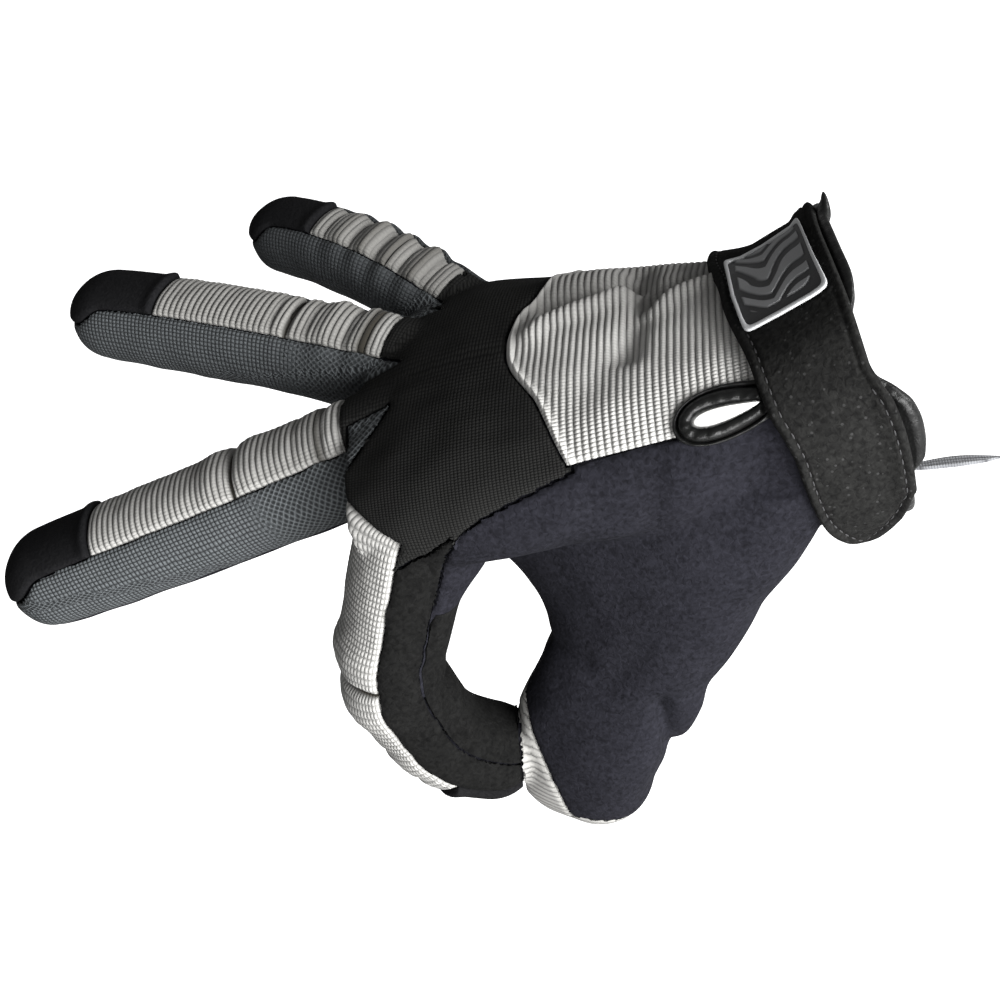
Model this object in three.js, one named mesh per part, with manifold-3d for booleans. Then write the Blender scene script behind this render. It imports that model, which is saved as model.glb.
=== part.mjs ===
// A tactical glove for the right hand, as worn with the tips of forefinger and thumb together and the other
// fingers spread. Millimetres. The origin is the centre of the cuff's mouth: +X points out of the mouth
// along the forearm, -Y is the thumb side and +Z is the back of the hand.
import * as THREE from 'three';
import Module from 'manifold-3d';

const wasm = await Module();
wasm.setup();

const vec = (x, y, z) => new THREE.Vector3(x, y, z);
const rad = THREE.MathUtils.degToRad;
const { lerp, clamp, smoothstep } = THREE.MathUtils;

const wall = 1.7;
const gap = 0.3; // between the edges of neighbouring panels
const cuffLength = 9; // from the mouth to the wrist's crease
const wristBack = 4; // degrees that the hand is bent back at the wrist
const wristOut = 8; // degrees that it leans to the little finger's side
const rootLength = 24; // of a finger's tube inside the hand, before the knuckle
const strapThickness = 2.2;
const slitLength = 18.5; // over its binding
const slitWidth = 10.5;
const bindingWidth = 2.6;
const crease = 44; // along a finger, where the skin round its root ends

// The hand's own directions, beyond the wrist.
const wrist = vec(-cuffLength, 0, 0);
const towardTips = vec(-Math.cos(rad(wristOut)) * Math.cos(rad(wristBack)),
  Math.sin(rad(wristOut)) * Math.cos(rad(wristBack)), Math.sin(rad(wristBack)));
const towardThumb = vec(-Math.sin(rad(wristOut)), -Math.cos(rad(wristOut)), 0);
const towardBack = towardTips.clone().cross(towardThumb);
const inHand = (tips, thumb, back) => wrist.clone().addScaledVector(towardTips, tips)
  .addScaledVector(towardThumb, thumb).addScaledVector(towardBack, back);
const handDirection = (tips, thumb, back) => inHand(tips, thumb, back).sub(wrist);

// Fingers: the knuckle's place in the hand, the three bones, the spread to the thumb side, the bend at each
// joint, the half width, and along the finger where its ribbed strip starts, pleats and meets the cap. The
// strip ends `seam` degrees from the middle of the back and the suede pad starts at `pad` degrees.
const fingers = {
  forefinger: { knuckle: [89, 26, 0], bones: [45, 27, 21.5], spread: 22, bend: [64.5, 36.5, 39], half: 12.3,
    stripFrom: 27, pleat: 65.5, capFrom: 98, seam: 62, pad: 118 },
  middle: { knuckle: [91, 4, 3], bones: [49, 31, 28], spread: 5, bend: [12.5, -1.5, -1], half: 12.6,
    stripFrom: 37, pleat: 66, capFrom: 105, seam: 52, pad: 138 },
  ring: { knuckle: [85, -17, 1], bones: [44, 29, 28], spread: -16, bend: [-14, 3, 2], half: 11.5,
    stripFrom: 45, pleat: 64, capFrom: 99, seam: 43, pad: 138 },
  little: { knuckle: [76, -36, -4], bones: [35, 21, 22], spread: -31, bend: [-29, 15, 11], half: 10.2,
    stripFrom: 42, pleat: 57, capFrom: 79, seam: 36, pad: 138 },
};
// Folds across the back of a finger: where, how deep, and how far they reach along it.
const folds = {
  forefinger: [
    { at: 60, deep: -1.4, reach: 5 },
    { at: 65.5, deep: 0.7, reach: 1.6 },
    { at: 71, deep: -1.4, reach: 5 },
  ],
  middle: [
    { at: 61, deep: -0.7, reach: 5 },
    { at: 66, deep: 0.7, reach: 1.6 },
    { at: 71, deep: -0.7, reach: 5 },
  ],
  ring: [
    { at: 48, deep: 0.7, reach: 2 },
    { at: 54, deep: -0.9, reach: 4 },
    { at: 64, deep: 0.7, reach: 1.8 },
  ],
  little: [
    { at: 46, deep: 0.7, reach: 2 },
    { at: 51, deep: -1.4, reach: 3 },
    { at: 57, deep: 0.7, reach: 2 },
    { at: 62, deep: -1.3, reach: 3 },
  ],
};

// A path of straight runs with rounded corners.
function roundedPath(points, rounding) {
  const curve = new THREE.CurvePath();
  let from = points[0];
  for (let i = 1; i < points.length - 1; i++) {
    const corner = points[i];
    const [back, on] = [points[i - 1], points[i + 1]].map((point) => corner.distanceTo(point));
    const reach = Math.min(rounding, back / 2.2, on / 2.2);
    const before = corner.clone().lerp(points[i - 1], reach / back);
    const after = corner.clone().lerp(points[i + 1], reach / on);
    curve.add(new THREE.LineCurve3(from, before));
    curve.add(new THREE.QuadraticBezierCurve3(before, corner, after));
    from = after;
  }
  curve.add(new THREE.LineCurve3(from, points.at(-1)));
  return curve;
}

// The path's point at a distance along it, and the section's directions there. Past its ends it runs
// straight.
function frameAt(path, at) {
  const share = clamp(at / path.length, 0, 1);
  const along = path.curve.getTangentAt(share);
  const point = path.curve.getPointAt(share).addScaledVector(along, at - share * path.length);
  const side = path.side(share * path.length);
  side.addScaledVector(along, -side.dot(along)).normalize();
  return { point, along, side, back: along.clone().cross(side) };
}

function fingerPath({ knuckle, bones, spread, bend }) {
  const heading = [Math.cos(rad(spread)), Math.sin(rad(spread))];
  const points = [inHand(...knuckle)];
  let turned = 0;
  bones.forEach((bone, i) => {
    turned += bend[i];
    const [c, s] = [Math.cos(rad(turned)), Math.sin(rad(turned))];
    const run = handDirection(heading[0] * c, heading[1] * c, -s).multiplyScalar(bone);
    points.push(points.at(-1).clone().add(run));
  });
  const root = points[0].clone().add(handDirection(-rootLength, -knuckle[1] * 0.15, -2));
  const curve = roundedPath([root, ...points], 9);
  const side = handDirection(-heading[1], heading[0], 0);
  return { curve, length: curve.getLength(), side: () => side.clone() };
}

// A value read from a table of rows by the distance along the path, evenly between rows.
function rowAt(rows, at) {
  let i = 0;
  while (i < rows.length - 2 && at > rows[i + 1].at) i++;
  const k = clamp((at - rows[i].at) / (rows[i + 1].at - rows[i].at), 0, 1);
  const mixed = {};
  for (const key of Object.keys(rows[0])) mixed[key] = lerp(rows[i][key], rows[i + 1][key], k);
  return mixed;
}

// A point of a tube's skin: turn is 0 degrees at the back and 90 on the thumb side.
function skinAt(tube, at, turn, grow = 0) {
  const { point, side, back } = frameAt(tube.path, at);
  const row = rowAt(tube.rows, at);
  const power = 2 / (tube.power ?? 2.3);
  const [s, c] = [Math.sin(rad(turn)), Math.cos(rad(turn))];
  const across = Math.sign(s) * Math.abs(s) ** power;
  const up = Math.sign(c) * Math.abs(c) ** power;
  const lift = grow + (tube.relief && grow > -wall / 2 ? tube.relief(at, turn) : 0);
  return point.addScaledVector(side, across * ((across > 0 ? row.thumb : row.little) + lift))
    .addScaledVector(back, up * ((up > 0 ? row.back : row.palm) + lift));
}

const tubes = {};
for (const [name, finger] of Object.entries(fingers)) {
  const path = fingerPath(finger);
  const r = finger.half;
  const end = path.length;
  const rows = [
    { at: 0, across: 0.7, back: 0.7, palm: 0.7 },
    { at: 20, across: 0.97, back: 0.95, palm: 0.95 },
    { at: crease, across: 1.02, back: 1.02, palm: 1.04 },
    { at: end * 0.5, across: 0.98, back: 0.97, palm: 0.98 },
    { at: end * 0.7, across: 0.98, back: 0.97, palm: 0.96 },
    { at: end - 14, across: 0.95, back: 0.93, palm: 0.9 },
    { at: end - 8, across: 0.87, back: 0.85, palm: 0.8 },
    { at: end - 3.5, across: 0.68, back: 0.66, palm: 0.6 },
    { at: end, across: 0.35, back: 0.3, palm: 0.3 },
  ].map(({ at, across, back, palm }) => (
    { at, thumb: r * across, little: r * across, back: r * back, palm: r * palm }));
  const relief = (at, turn) => {
    const share = clamp(1.35 - Math.abs(turn > 180 ? turn - 360 : turn) / 62, 0, 1);
    const hollowed = (fold) => fold.deep * Math.exp(-(((at - fold.at) / fold.reach) ** 2) * 2);
    return -share * folds[name].reduce((sum, fold) => sum + hollowed(fold), 0);
  };
  const seams = [finger.stripFrom, crease, finger.pleat, finger.capFrom, end - 24, end - 12];
  const shaped = [...rows, ...folds[name]].map((row) => row.at);
  const between = shaped.filter((at) => seams.every((place) => Math.abs(place - at) > 1.5));
  const rings = [...seams, ...between].sort((a, b) => a - b);
  const { seam, pad } = finger;
  const half = [seam / 2, seam, lerp(seam, pad, 1 / 3), lerp(seam, pad, 2 / 3), pad];
  tubes[name] = { path, rows, relief, rings,
    turns: [0, ...half, 180, ...half.map((turn) => 360 - turn).reverse()] };
}

function evenTurns(sides) {
  return Array.from({ length: sides }, (_, i) => (i * 360) / sides);
}

// The hand from the cuff's mouth to the knuckles, with the folds that its loose back takes.
const handCurve = roundedPath([vec(0, 0, 0), wrist, inHand(40, 0, 0), inHand(106, 0, -2)], 16);
const handPath = { curve: handCurve, length: handCurve.getLength(),
  side: (at) => vec(0, -1, 0).lerp(towardThumb, smoothstep(at, 0, 40)) };
const handRows = [
  { at: 0, thumb: 32, little: 36, back: 31, palm: 31 },
  { at: 12, thumb: 32, little: 36, back: 26, palm: 31 },
  { at: 24, thumb: 32, little: 38, back: 21, palm: 28 },
  { at: 36, thumb: 35, little: 41, back: 19, palm: 22 },
  { at: 61, thumb: 39, little: 48, back: 18, palm: 18 },
  { at: 86, thumb: 41, little: 50, back: 18, palm: 17 },
  { at: 100, thumb: 40, little: 48, back: 16.5, palm: 16 },
  { at: 112, thumb: 36, little: 40, back: 13, palm: 13 },
];
tubes.hand = { path: handPath, rows: handRows, power: 2.5, rings: handRows.map((row) => row.at),
  turns: evenTurns(24) };

// The thumb, whose root is wide and carries the web to the forefinger.
const thumbJoints = [inHand(40, 14, -4), inHand(48, 19, -50), inHand(67, 26, -74), inHand(73.5, 26, -102)];
const thumbCurve = roundedPath(thumbJoints, 12);
const te = thumbCurve.getLength();
const thumbPath = { curve: thumbCurve, length: te, side: () => handDirection(0.3, 1, 0) };
const thumbRows = [
  { at: 0, thumb: 16, little: 16, back: 52, palm: 42 },
  { at: 13, thumb: 17, little: 17, back: 52, palm: 38 },
  { at: 22, thumb: 17, little: 17, back: 42, palm: 34 },
  { at: 33, thumb: 16, little: 16, back: 30, palm: 27 },
  { at: te - 52, thumb: 14, little: 15, back: 21, palm: 18 },
  { at: te - 38, thumb: 13, little: 11.5, back: 17, palm: 17.5 },
  { at: te - 24, thumb: 13, little: 10.5, back: 16.3, palm: 17 },
  { at: te - 14, thumb: 12, little: 10, back: 15.5, palm: 15.5 },
  { at: te - 6, thumb: 9.5, little: 9.5, back: 13.5, palm: 12 },
  { at: te - 1, thumb: 5, little: 5, back: 7, palm: 6 },
];
tubes.thumb = { path: thumbPath, rows: thumbRows, rings: thumbRows.map((row) => row.at),
  turns: evenTurns(16) };

// A closed body from its points and triangles, with its faces turned outwards.
function solid(positions, index) {
  const vertProperties = new Float32Array(positions);
  const body = (triVerts) => new wasm.Manifold(new wasm.Mesh({ numProp: 3, vertProperties, triVerts }));
  const made = body(new Uint32Array(index));
  if (made.volume() > 0) return made;
  const turned = index.map((_, k) => index[k % 3 === 0 ? k : k % 3 === 1 ? k + 1 : k - 1]);
  return body(new Uint32Array(turned));
}

function tubeSolid(tube, grow, rings, tip = 1 + grow) {
  const { turns } = tube;
  const sides = turns.length;
  const positions = rings.flatMap((at) => turns.flatMap((turn) => skinAt(tube, at, turn, grow).toArray()));
  positions.push(...frameAt(tube.path, rings[0]).point, ...frameAt(tube.path, rings.at(-1) + tip).point);
  const index = [];
  for (let r = 0; r < rings.length - 1; r++) for (let i = 0; i < sides; i++) {
    const j = (i + 1) % sides;
    const [a, b, c, d] = [r * sides + i, r * sides + j, (r + 1) * sides + j, (r + 1) * sides + i];
    index.push(a, b, c, a, c, d);
  }
  const [first, last] = [rings.length * sides, rings.length * sides + 1];
  for (let i = 0; i < sides; i++) {
    const j = (i + 1) % sides;
    index.push(first, j, i, last, (rings.length - 1) * sides + i, (rings.length - 1) * sides + j);
  }
  return solid(positions, index);
}

// A thick patch of a tube's skin from `inward` below it to `outward` above it. Each row has a distance along
// the tube, `at`, with the turns `low` and `high` that the patch runs between, or a `turn` with two
// distances. `grow` lets out all the edges and `growTurn` the ones between turns.
function patch(tube, rows, options = {}) {
  const { inward = wall, outward = 0, across = 4, grow = -gap / 2 } = options;
  const { growTurn = grow } = options;
  const key = 'at' in rows[0] ? 'at' : 'turn';
  const half = tube.rows[Math.floor(tube.rows.length / 2)].back;
  const degrees = (growTurn / half) * (180 / Math.PI);
  const [first, last] = [rows[0][key], rows.at(-1)[key]];
  const facets = key === 'at' ? tube.rings : [...tube.turns.map((turn) => turn - 360), ...tube.turns];
  const apart = key === 'at' ? 1.5 : 3;
  const between = facets.filter((place) => place > first + apart && place < last - apart
    && rows.every((row) => Math.abs(row[key] - place) >= apart));
  const stops = [...rows.map((row) => row[key]), ...between].sort((a, b) => a - b);
  const filled = stops.map((place) => {
    const i = clamp(rows.findIndex((row) => row[key] >= place), 1, rows.length - 1);
    const k = (place - rows[i - 1][key]) / (rows[i][key] - rows[i - 1][key]);
    return [place, lerp(rows[i - 1].low, rows[i].low, k), lerp(rows[i - 1].high, rows[i].high, k)];
  });
  const grown = filled.map(([place, low, high], i) => {
    const end = i === 0 ? -1 : i === filled.length - 1 ? 1 : 0;
    if (key === 'at') return [place + end * grow, low - degrees, high + degrees];
    return [place + end * degrees, low - grow, high + grow];
  });
  const corner = (i, j, lift) => {
    const [place, low, high] = grown[i];
    const other = lerp(low, high, j / across);
    return key === 'at' ? skinAt(tube, place, other, lift) : skinAt(tube, other, place, lift);
  };
  const [columns, count] = [across + 1, grown.length];
  const positions = [];
  for (const lift of [outward, -inward]) {
    for (let i = 0; i < count; i++) for (let j = 0; j < columns; j++) positions.push(...corner(i, j, lift));
  }
  const index = [];
  const id = (i, j, inner) => (inner ? count * columns : 0) + i * columns + j;
  const quad = (a, b, c, d) => index.push(a, b, c, a, c, d);
  for (let i = 0; i < count - 1; i++) for (let j = 0; j < across; j++) {
    quad(id(i, j), id(i, j + 1), id(i + 1, j + 1), id(i + 1, j));
    quad(id(i, j, 1), id(i + 1, j, 1), id(i + 1, j + 1, 1), id(i, j + 1, 1));
  }
  for (let i = 0; i < count - 1; i++) {
    quad(id(i, 0, 1), id(i, 0), id(i + 1, 0), id(i + 1, 0, 1));
    quad(id(i, across), id(i, across, 1), id(i + 1, across, 1), id(i + 1, across));
  }
  for (let j = 0; j < across; j++) {
    quad(id(0, j, 1), id(0, j + 1, 1), id(0, j + 1), id(0, j));
    quad(id(count - 1, j), id(count - 1, j + 1), id(count - 1, j + 1, 1), id(count - 1, j, 1));
  }
  return solid(positions, index);
}

// How much larger than a patch its cutter is: a plain one, one that takes a piece out of the skin, one that
// then clears the skin round that piece, and one round a patch that stands free of the skin.
const cutting = { inward: 4, outward: 4, grow: gap };
const slicing = { inward: 4, outward: 4, grow: 0, across: 2 };
const clearing = { inward: 4.5, outward: 4.5, grow: gap * 1.3, across: 2 };
const freeing = { inward: wall + gap, outward: gap, grow: gap, across: 2 };

const grey = 0x9a9a9c;
const gussetGrey = 0x6c7078;
const black = 0x1c1c1e;
const suede = 0x26262e;

const glove = new THREE.Group();
function addGeometry(name, color, geometry) {
  const mesh = new THREE.Mesh(geometry, new THREE.MeshStandardMaterial({ color, roughness: 0.9 }));
  mesh.name = name;
  glove.add(mesh);
  return mesh;
}
function add(name, color, body) {
  const largest = body.decompose().sort((a, b) => b.volume() - a.volume())[0].getMesh();
  const geometry = new THREE.BufferGeometry();
  geometry.setAttribute('position', new THREE.Float32BufferAttribute(largest.vertProperties, 3));
  geometry.setIndex(new THREE.Uint32BufferAttribute(largest.triVerts, 1));
  addGeometry(name, color, geometry);
}
const join = (bodies) => bodies.reduce((sum, body) => sum.add(body));

// The skin of the hand, the thumb and the finger roots, hollow inside. Panels are taken out of it one by one,
// and the palm panel is what is left.
const hollows = Object.entries(tubes).map(([name, tube]) => (
  tubeSolid(tube, -wall, name === 'hand' ? [-3, ...tube.rings.slice(1)] : tube.rings)));
const rootRings = (tube) => [...tube.rings.filter((at) => at < crease - 3), crease];
const filled = Object.entries(tubes).map(([name, tube]) => (
  tubeSolid(tube, 0, name in fingers ? rootRings(tube) : tube.rings)));
let hide = join(filled).subtract(join(hollows));
const clear = (tube, rows, options) => { hide = hide.subtract(patch(tube, rows, options)); };

// Each finger's ribbed strip in two lengths, its cap with the button that closes the tip, and its pad.
for (const [name, { stripFrom, pleat, capFrom, seam, pad }] of Object.entries(fingers)) {
  const tube = tubes[name];
  const { length } = tube.path;
  const strip = (from, to) => [{ at: from, low: -seam, high: seam }, { at: to, low: -seam, high: seam }];
  add(`${name}_back_lower`, grey, patch(tube, strip(stripFrom, pleat), { growTurn: -gap }));
  add(`${name}_back_upper`, grey, patch(tube, strip(pleat, capFrom), { growTurn: -gap }));
  clear(tube, strip(stripFrom, capFrom), { ...cutting, grow: gap / 2 });

  const cap = patch(tube, [
    { at: capFrom, low: -seam, high: seam },
    { at: length - 12, low: -seam - 3, high: seam + 3 },
    { at: length - 4, low: -75, high: 75 },
    { at: length - 1, low: -82, high: 82 },
  ], { growTurn: -gap });
  add(`${name}_cap`, black, cap.add(tubeSolid(tube, 0, [length - 1.6, length])));

  const [low, high] = [name === 'forefinger' ? 108 : pad, 360 - pad];
  const padRows = [
    { at: crease + gap, low, high },
    { at: length - 12, low, high },
    { at: length - 4, low: pad - 4, high: high + 4 },
    { at: length - 2, low: pad - 4, high: high + 4 },
  ];
  add(`${name}_pad`, suede, patch(tube, padRows, { growTurn: -gap }));
  clear(tube, padRows.slice(0, 2), { ...freeing, across: 4 });
}

// One side of a finger, between its strip and its pad: hand is 1 for the thumb side and -1 for the other.
function sideRows(name, hand, from) {
  const { seam, pad } = fingers[name];
  const { length } = tubes[name].path;
  return [
    { at: from, low: seam, high: pad },
    { at: length - 24, low: seam, high: pad },
    { at: length - 12, low: seam + 4, high: pad },
    { at: length - 4, low: 78, high: pad - 6 },
    { at: length - 2.1, low: 84, high: pad - 8 },
  ].map(({ at, low, high }) => (hand > 0 ? { at, low, high } : { at, low: -high, high: -low }));
}

// The gussets: one side of a finger and the facing side of the next, each from where it leaves the hand, and
// the dart that goes up between the knuckles and opens from its tip at `dartAt`.
const gussets = [
  { near: 'forefinger', far: 'middle', nearFrom: 26, farFrom: 28, dartAt: 102.4, tip: 9, opens: [12, 38] },
  { near: 'middle', far: 'ring', nearFrom: 28, farFrom: 30, dartAt: 105, tip: -27, opens: [-34, -20] },
  { near: 'ring', far: 'little', nearFrom: 30, farFrom: 28, dartAt: 91, tip: -54, opens: [-62, -46] },
];
for (const { near, far, nearFrom, farFrom, dartAt, tip, opens } of gussets) {
  const sides = [{ name: near, hand: -1, from: nearFrom }, { name: far, hand: 1, from: farFrom }]
    .map(({ name, hand, from }) => ({
      tube: tubes[name],
      root: [sideRows(name, hand, from)[0], sideRows(name, hand, crease + 6)[0]],
      free: sideRows(name, hand, crease - 0.1),
    }));
  const dart = [0, 0.25, 0.5, 0.75, 1].map((share) => ({
    at: dartAt + 10 * share,
    low: lerp(tip - 1, opens[0], share),
    high: lerp(tip + 1, opens[1], share),
  }));
  add(`gusset_${near}_${far}`, gussetGrey, join([
    ...sides.map(({ tube, free }) => patch(tube, free, { across: 2, grow: 0 })),
    ...sides.map(({ tube, root }) => hide.intersect(patch(tube, root, slicing))),
    hide.intersect(patch(tubes.hand, dart, { ...slicing, outward: 6, across: 1 })),
  ]));
  clear(tubes.hand, dart, { ...clearing, outward: 6.5, grow: gap * 2, across: 1 });
  for (const { tube, root, free } of sides) {
    clear(tube, free.slice(0, 2), freeing);
    clear(tube, root, clearing);
  }
}
const littleSide = sideRows('little', -1, 32);
add('little_side', gussetGrey, patch(tubes.little, littleSide, { across: 3, growTurn: 0 }));
clear(tubes.little, littleSide, clearing);

// The thumb: grey on its far side and round its tip.
const thumbFar = [
  { at: 44, low: -150, high: -40 },
  { at: 60, low: -165, high: -10 },
  { at: 78, low: -185, high: 30 },
  { at: 90, low: -205, high: 60 },
  { at: te - 2.4, low: -225, high: 85 },
];
const thumbTip = (grow, from) => tubeSolid(tubes.thumb, 4 + grow, [from - grow, te + 1]);
add('thumb_gusset', gussetGrey, join([
  hide.intersect(patch(tubes.thumb, thumbFar, { ...slicing, across: 6 })),
  hide.intersect(thumbTip(0, te - 4.3)),
]));
clear(tubes.thumb, thumbFar, { ...clearing, across: 6 });
hide = hide.subtract(thumbTip(gap, te - 4.3));

// The vent slit at the base of the thumb: a point round it, `grow` outside its edge.
const slit = { at: 32, turn: 58, tilt: -20, mmPerDegree: 0.62 };
const slitSides = 16;
function slitPoint(side, grow, lift) {
  const around = (side / slitSides) * Math.PI * 2;
  const [a, b] = [Math.cos(around) * (slitLength / 2 + grow), Math.sin(around) * (slitWidth / 2 + grow)];
  const [c, s] = [Math.cos(rad(slit.tilt)), Math.sin(rad(slit.tilt))];
  return skinAt(tubes.hand, slit.at + a * c - b * s, slit.turn + (a * s + b * c) / slit.mmPerDegree, lift);
}
function slitBinding(section) {
  const index = [];
  const positions = [];
  for (let i = 0; i < slitSides; i++) for (let j = 0; j < section.length; j++) {
    positions.push(...slitPoint(i, section[j].grow, section[j].lift));
    const [next, above] = [(i + 1) % slitSides, (j + 1) % section.length];
    const [a, b] = [i * section.length + j, i * section.length + above];
    const [c, d] = [next * section.length + above, next * section.length + j];
    index.push(a, b, c, a, c, d);
  }
  return solid(positions, index);
}
function slitPrism(grow, low, high) {
  const positions = [];
  for (const lift of [low, high]) {
    for (let i = 0; i < slitSides; i++) positions.push(...slitPoint(i, grow, lift));
    positions.push(...skinAt(tubes.hand, slit.at, slit.turn, lift));
  }
  const index = [];
  for (let i = 0; i < slitSides; i++) {
    const j = (i + 1) % slitSides;
    const [a, b, c, d] = [i, j, slitSides + 1 + j, slitSides + 1 + i];
    index.push(a, b, c, a, c, d, slitSides, j, i, 2 * slitSides + 1, d, c);
  }
  return solid(positions, index);
}
const slitHole = slitPrism(gap * 1.5, -6, 6);

// The back of the hand: the ribbed panel from the cuff to its curved seam, and the knit over the knuckles,
// which runs on down the thumb side of the forefinger.
const backPanel = [
  { turn: -100, low: 4.4, high: 63 },
  { turn: -60, low: 4.4, high: 65 },
  { turn: -30, low: 4.4, high: 69 },
  { turn: -3, low: 4.4, high: 76 },
  { turn: 24, low: 4.4, high: 68 },
  { turn: 60, low: 4.4, high: 62 },
];
add('back_panel', grey, patch(tubes.hand, backPanel, { across: 6 }).subtract(slitHole));
clear(tubes.hand, backPanel, { ...cutting, across: 6 });

const knuckles = [
  { at: 61, low: -100, high: 64 },
  { at: 81, low: -90, high: 80 },
  { at: 97, low: -78, high: 97 },
  { at: 126, low: -74, high: 100 },
];
const knuckleDepth = { inward: 9, outward: 14, across: 6 };
const foreLength = tubes.forefinger.path.length;
const foreSide = [
  { at: 18, low: 62, high: 92 },
  { at: crease, low: 62, high: 104 },
  { at: 79, low: 62, high: 108 },
  { at: foreLength - 12, low: 66, high: 108 },
  { at: foreLength - 4, low: 78, high: 108 },
  { at: foreLength - 1.8, low: 84, high: 110 },
];
add('knuckle_panel', black, join([
  hide.intersect(patch(tubes.hand, knuckles, { ...knuckleDepth, grow: 0 })),
  hide.intersect(patch(tubes.forefinger, foreSide.slice(0, 2), slicing)),
  patch(tubes.forefinger, foreSide.slice(1), { across: 3, grow: 0 }),
]));
clear(tubes.hand, knuckles, { ...knuckleDepth, grow: gap });
clear(tubes.forefinger, foreSide.slice(0, 2), clearing);

// The slit's binding is rolled over its edge.
add('slit_binding', black, slitBinding([
  { grow: 0, lift: -1.6 },
  { grow: 0, lift: 0.2 },
  { grow: -0.6, lift: 0.9 },
  { grow: -1.9, lift: 0.9 },
  { grow: -bindingWidth, lift: 0.2 },
  { grow: -bindingWidth, lift: -1.6 },
  { grow: -1.3, lift: -2.2 },
]));
hide = hide.subtract(slitHole);

// The strap over the wrist, with its free end on the palm side.
const strap = [
  { turn: -120, low: 6, high: 31 },
  { turn: -90, low: 6, high: 31.5 },
  { turn: -60, low: 5.5, high: 32 },
  { turn: -30, low: 5, high: 32 },
  { turn: 0, low: 4.8, high: 28.5 },
  { turn: 30, low: 4.6, high: 24 },
  { turn: 60, low: 4.6, high: 21 },
  { turn: 90, low: 4.6, high: 17.5 },
  { turn: 105, low: 4.8, high: 17 },
  { turn: 120, low: 6, high: 15.8 },
  { turn: 132, low: 8.5, high: 12.5 },
];
const strapLift = 1.1; // from the panels to the strap's underside
const strapTop = strapLift + strapThickness;
add('strap', black, patch(tubes.hand, strap, { inward: -strapLift, outward: strapTop, across: 3 }));
clear(tubes.hand, strap, { inward: gap - strapLift, outward: 5, grow: gap, across: 3 });

// The square badge on the strap, a plate in a raised frame.
const badge = [
  { turn: -26, low: 8.8, high: 30 },
  { turn: -15, low: 8.1, high: 29 },
  { turn: 0, low: 7.2, high: 27.4 },
  { turn: 15, low: 6.3, high: 25.3 },
  { turn: 19, low: 6, high: 24.7 },
];
const badgeUnder = strapTop + 2 * gap;
add('badge_plate', 0x55565a, patch(tubes.hand, badge, { inward: -badgeUnder, outward: badgeUnder + 1.1 }));
const badgeFrame = patch(tubes.hand, badge, { inward: -badgeUnder, outward: badgeUnder + 1.7, grow: 1.2 });
const badgeHole = patch(tubes.hand, badge, { inward: 1 - badgeUnder, outward: badgeUnder + 3, grow: gap });
add('badge_frame', 0xb4b4b6, badgeFrame.subtract(badgeHole));

// The palm panel is what is left of the skin beyond the cuff's binding.
const cuffBinding = { from: 0, to: 4.1, over: 0.8 };
hide = hide.subtract(tubeSolid(tubes.hand, 6, [-8, cuffBinding.to + gap]));
add('palm_panel', suede, hide);
const { from, to, over } = cuffBinding;
add('cuff_binding', black, tubeSolid(tubes.hand, over, [from, to], 0)
  .subtract(tubeSolid(tubes.hand, -wall - over, [from - 1, to + 1], 0)));

// The pull tab at the cuff's mouth, a flat leaf that hangs out of it on the thumb side.
const tabLength = 17;
const leaf = new THREE.Shape();
leaf.moveTo(0, 1.6);
leaf.lineTo(tabLength, 1.2);
leaf.quadraticCurveTo(tabLength * 0.75, -2.2, 7, -2.4);
leaf.quadraticCurveTo(2, -2.2, 0, -0.6);
const tabGeometry = new THREE.ExtrudeGeometry(leaf, { depth: 1.2, bevelEnabled: false, curveSegments: 5 });
const pullTab = addGeometry('pull_tab', gussetGrey, tabGeometry);
pullTab.position.copy(skinAt(tubes.hand, 0, 101, -0.4)).add(vec(gap, 0, 0));
pullTab.rotation.z = rad(-4);

export default glove;
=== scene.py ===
import math
import bpy
import bmesh
import numpy as np
from mathutils import Matrix, Vector
from mathutils.bvhtree import BVHTree
from mathutils.kdtree import KDTree


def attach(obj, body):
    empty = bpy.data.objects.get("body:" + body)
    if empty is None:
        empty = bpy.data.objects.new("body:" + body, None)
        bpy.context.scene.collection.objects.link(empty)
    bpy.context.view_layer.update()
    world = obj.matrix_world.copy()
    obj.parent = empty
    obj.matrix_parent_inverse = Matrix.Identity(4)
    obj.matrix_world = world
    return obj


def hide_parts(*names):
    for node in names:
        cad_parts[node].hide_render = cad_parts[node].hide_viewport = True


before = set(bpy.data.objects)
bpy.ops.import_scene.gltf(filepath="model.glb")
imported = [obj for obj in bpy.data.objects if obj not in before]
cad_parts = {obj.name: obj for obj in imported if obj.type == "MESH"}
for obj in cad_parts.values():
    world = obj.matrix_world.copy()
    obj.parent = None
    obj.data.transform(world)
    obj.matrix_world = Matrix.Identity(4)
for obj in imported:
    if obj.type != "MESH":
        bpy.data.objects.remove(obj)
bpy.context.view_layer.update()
print("glove: frame loaded")

# The camera stands where the photograph was taken from, turned a little about its own view axis.
viewpoint = {"azimuth": 11.05, "elevation": 35.18, "roll": -22.90, "place": (-0.0266, -0.3062, 0.2106),
             "lens": 61.18}


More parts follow.
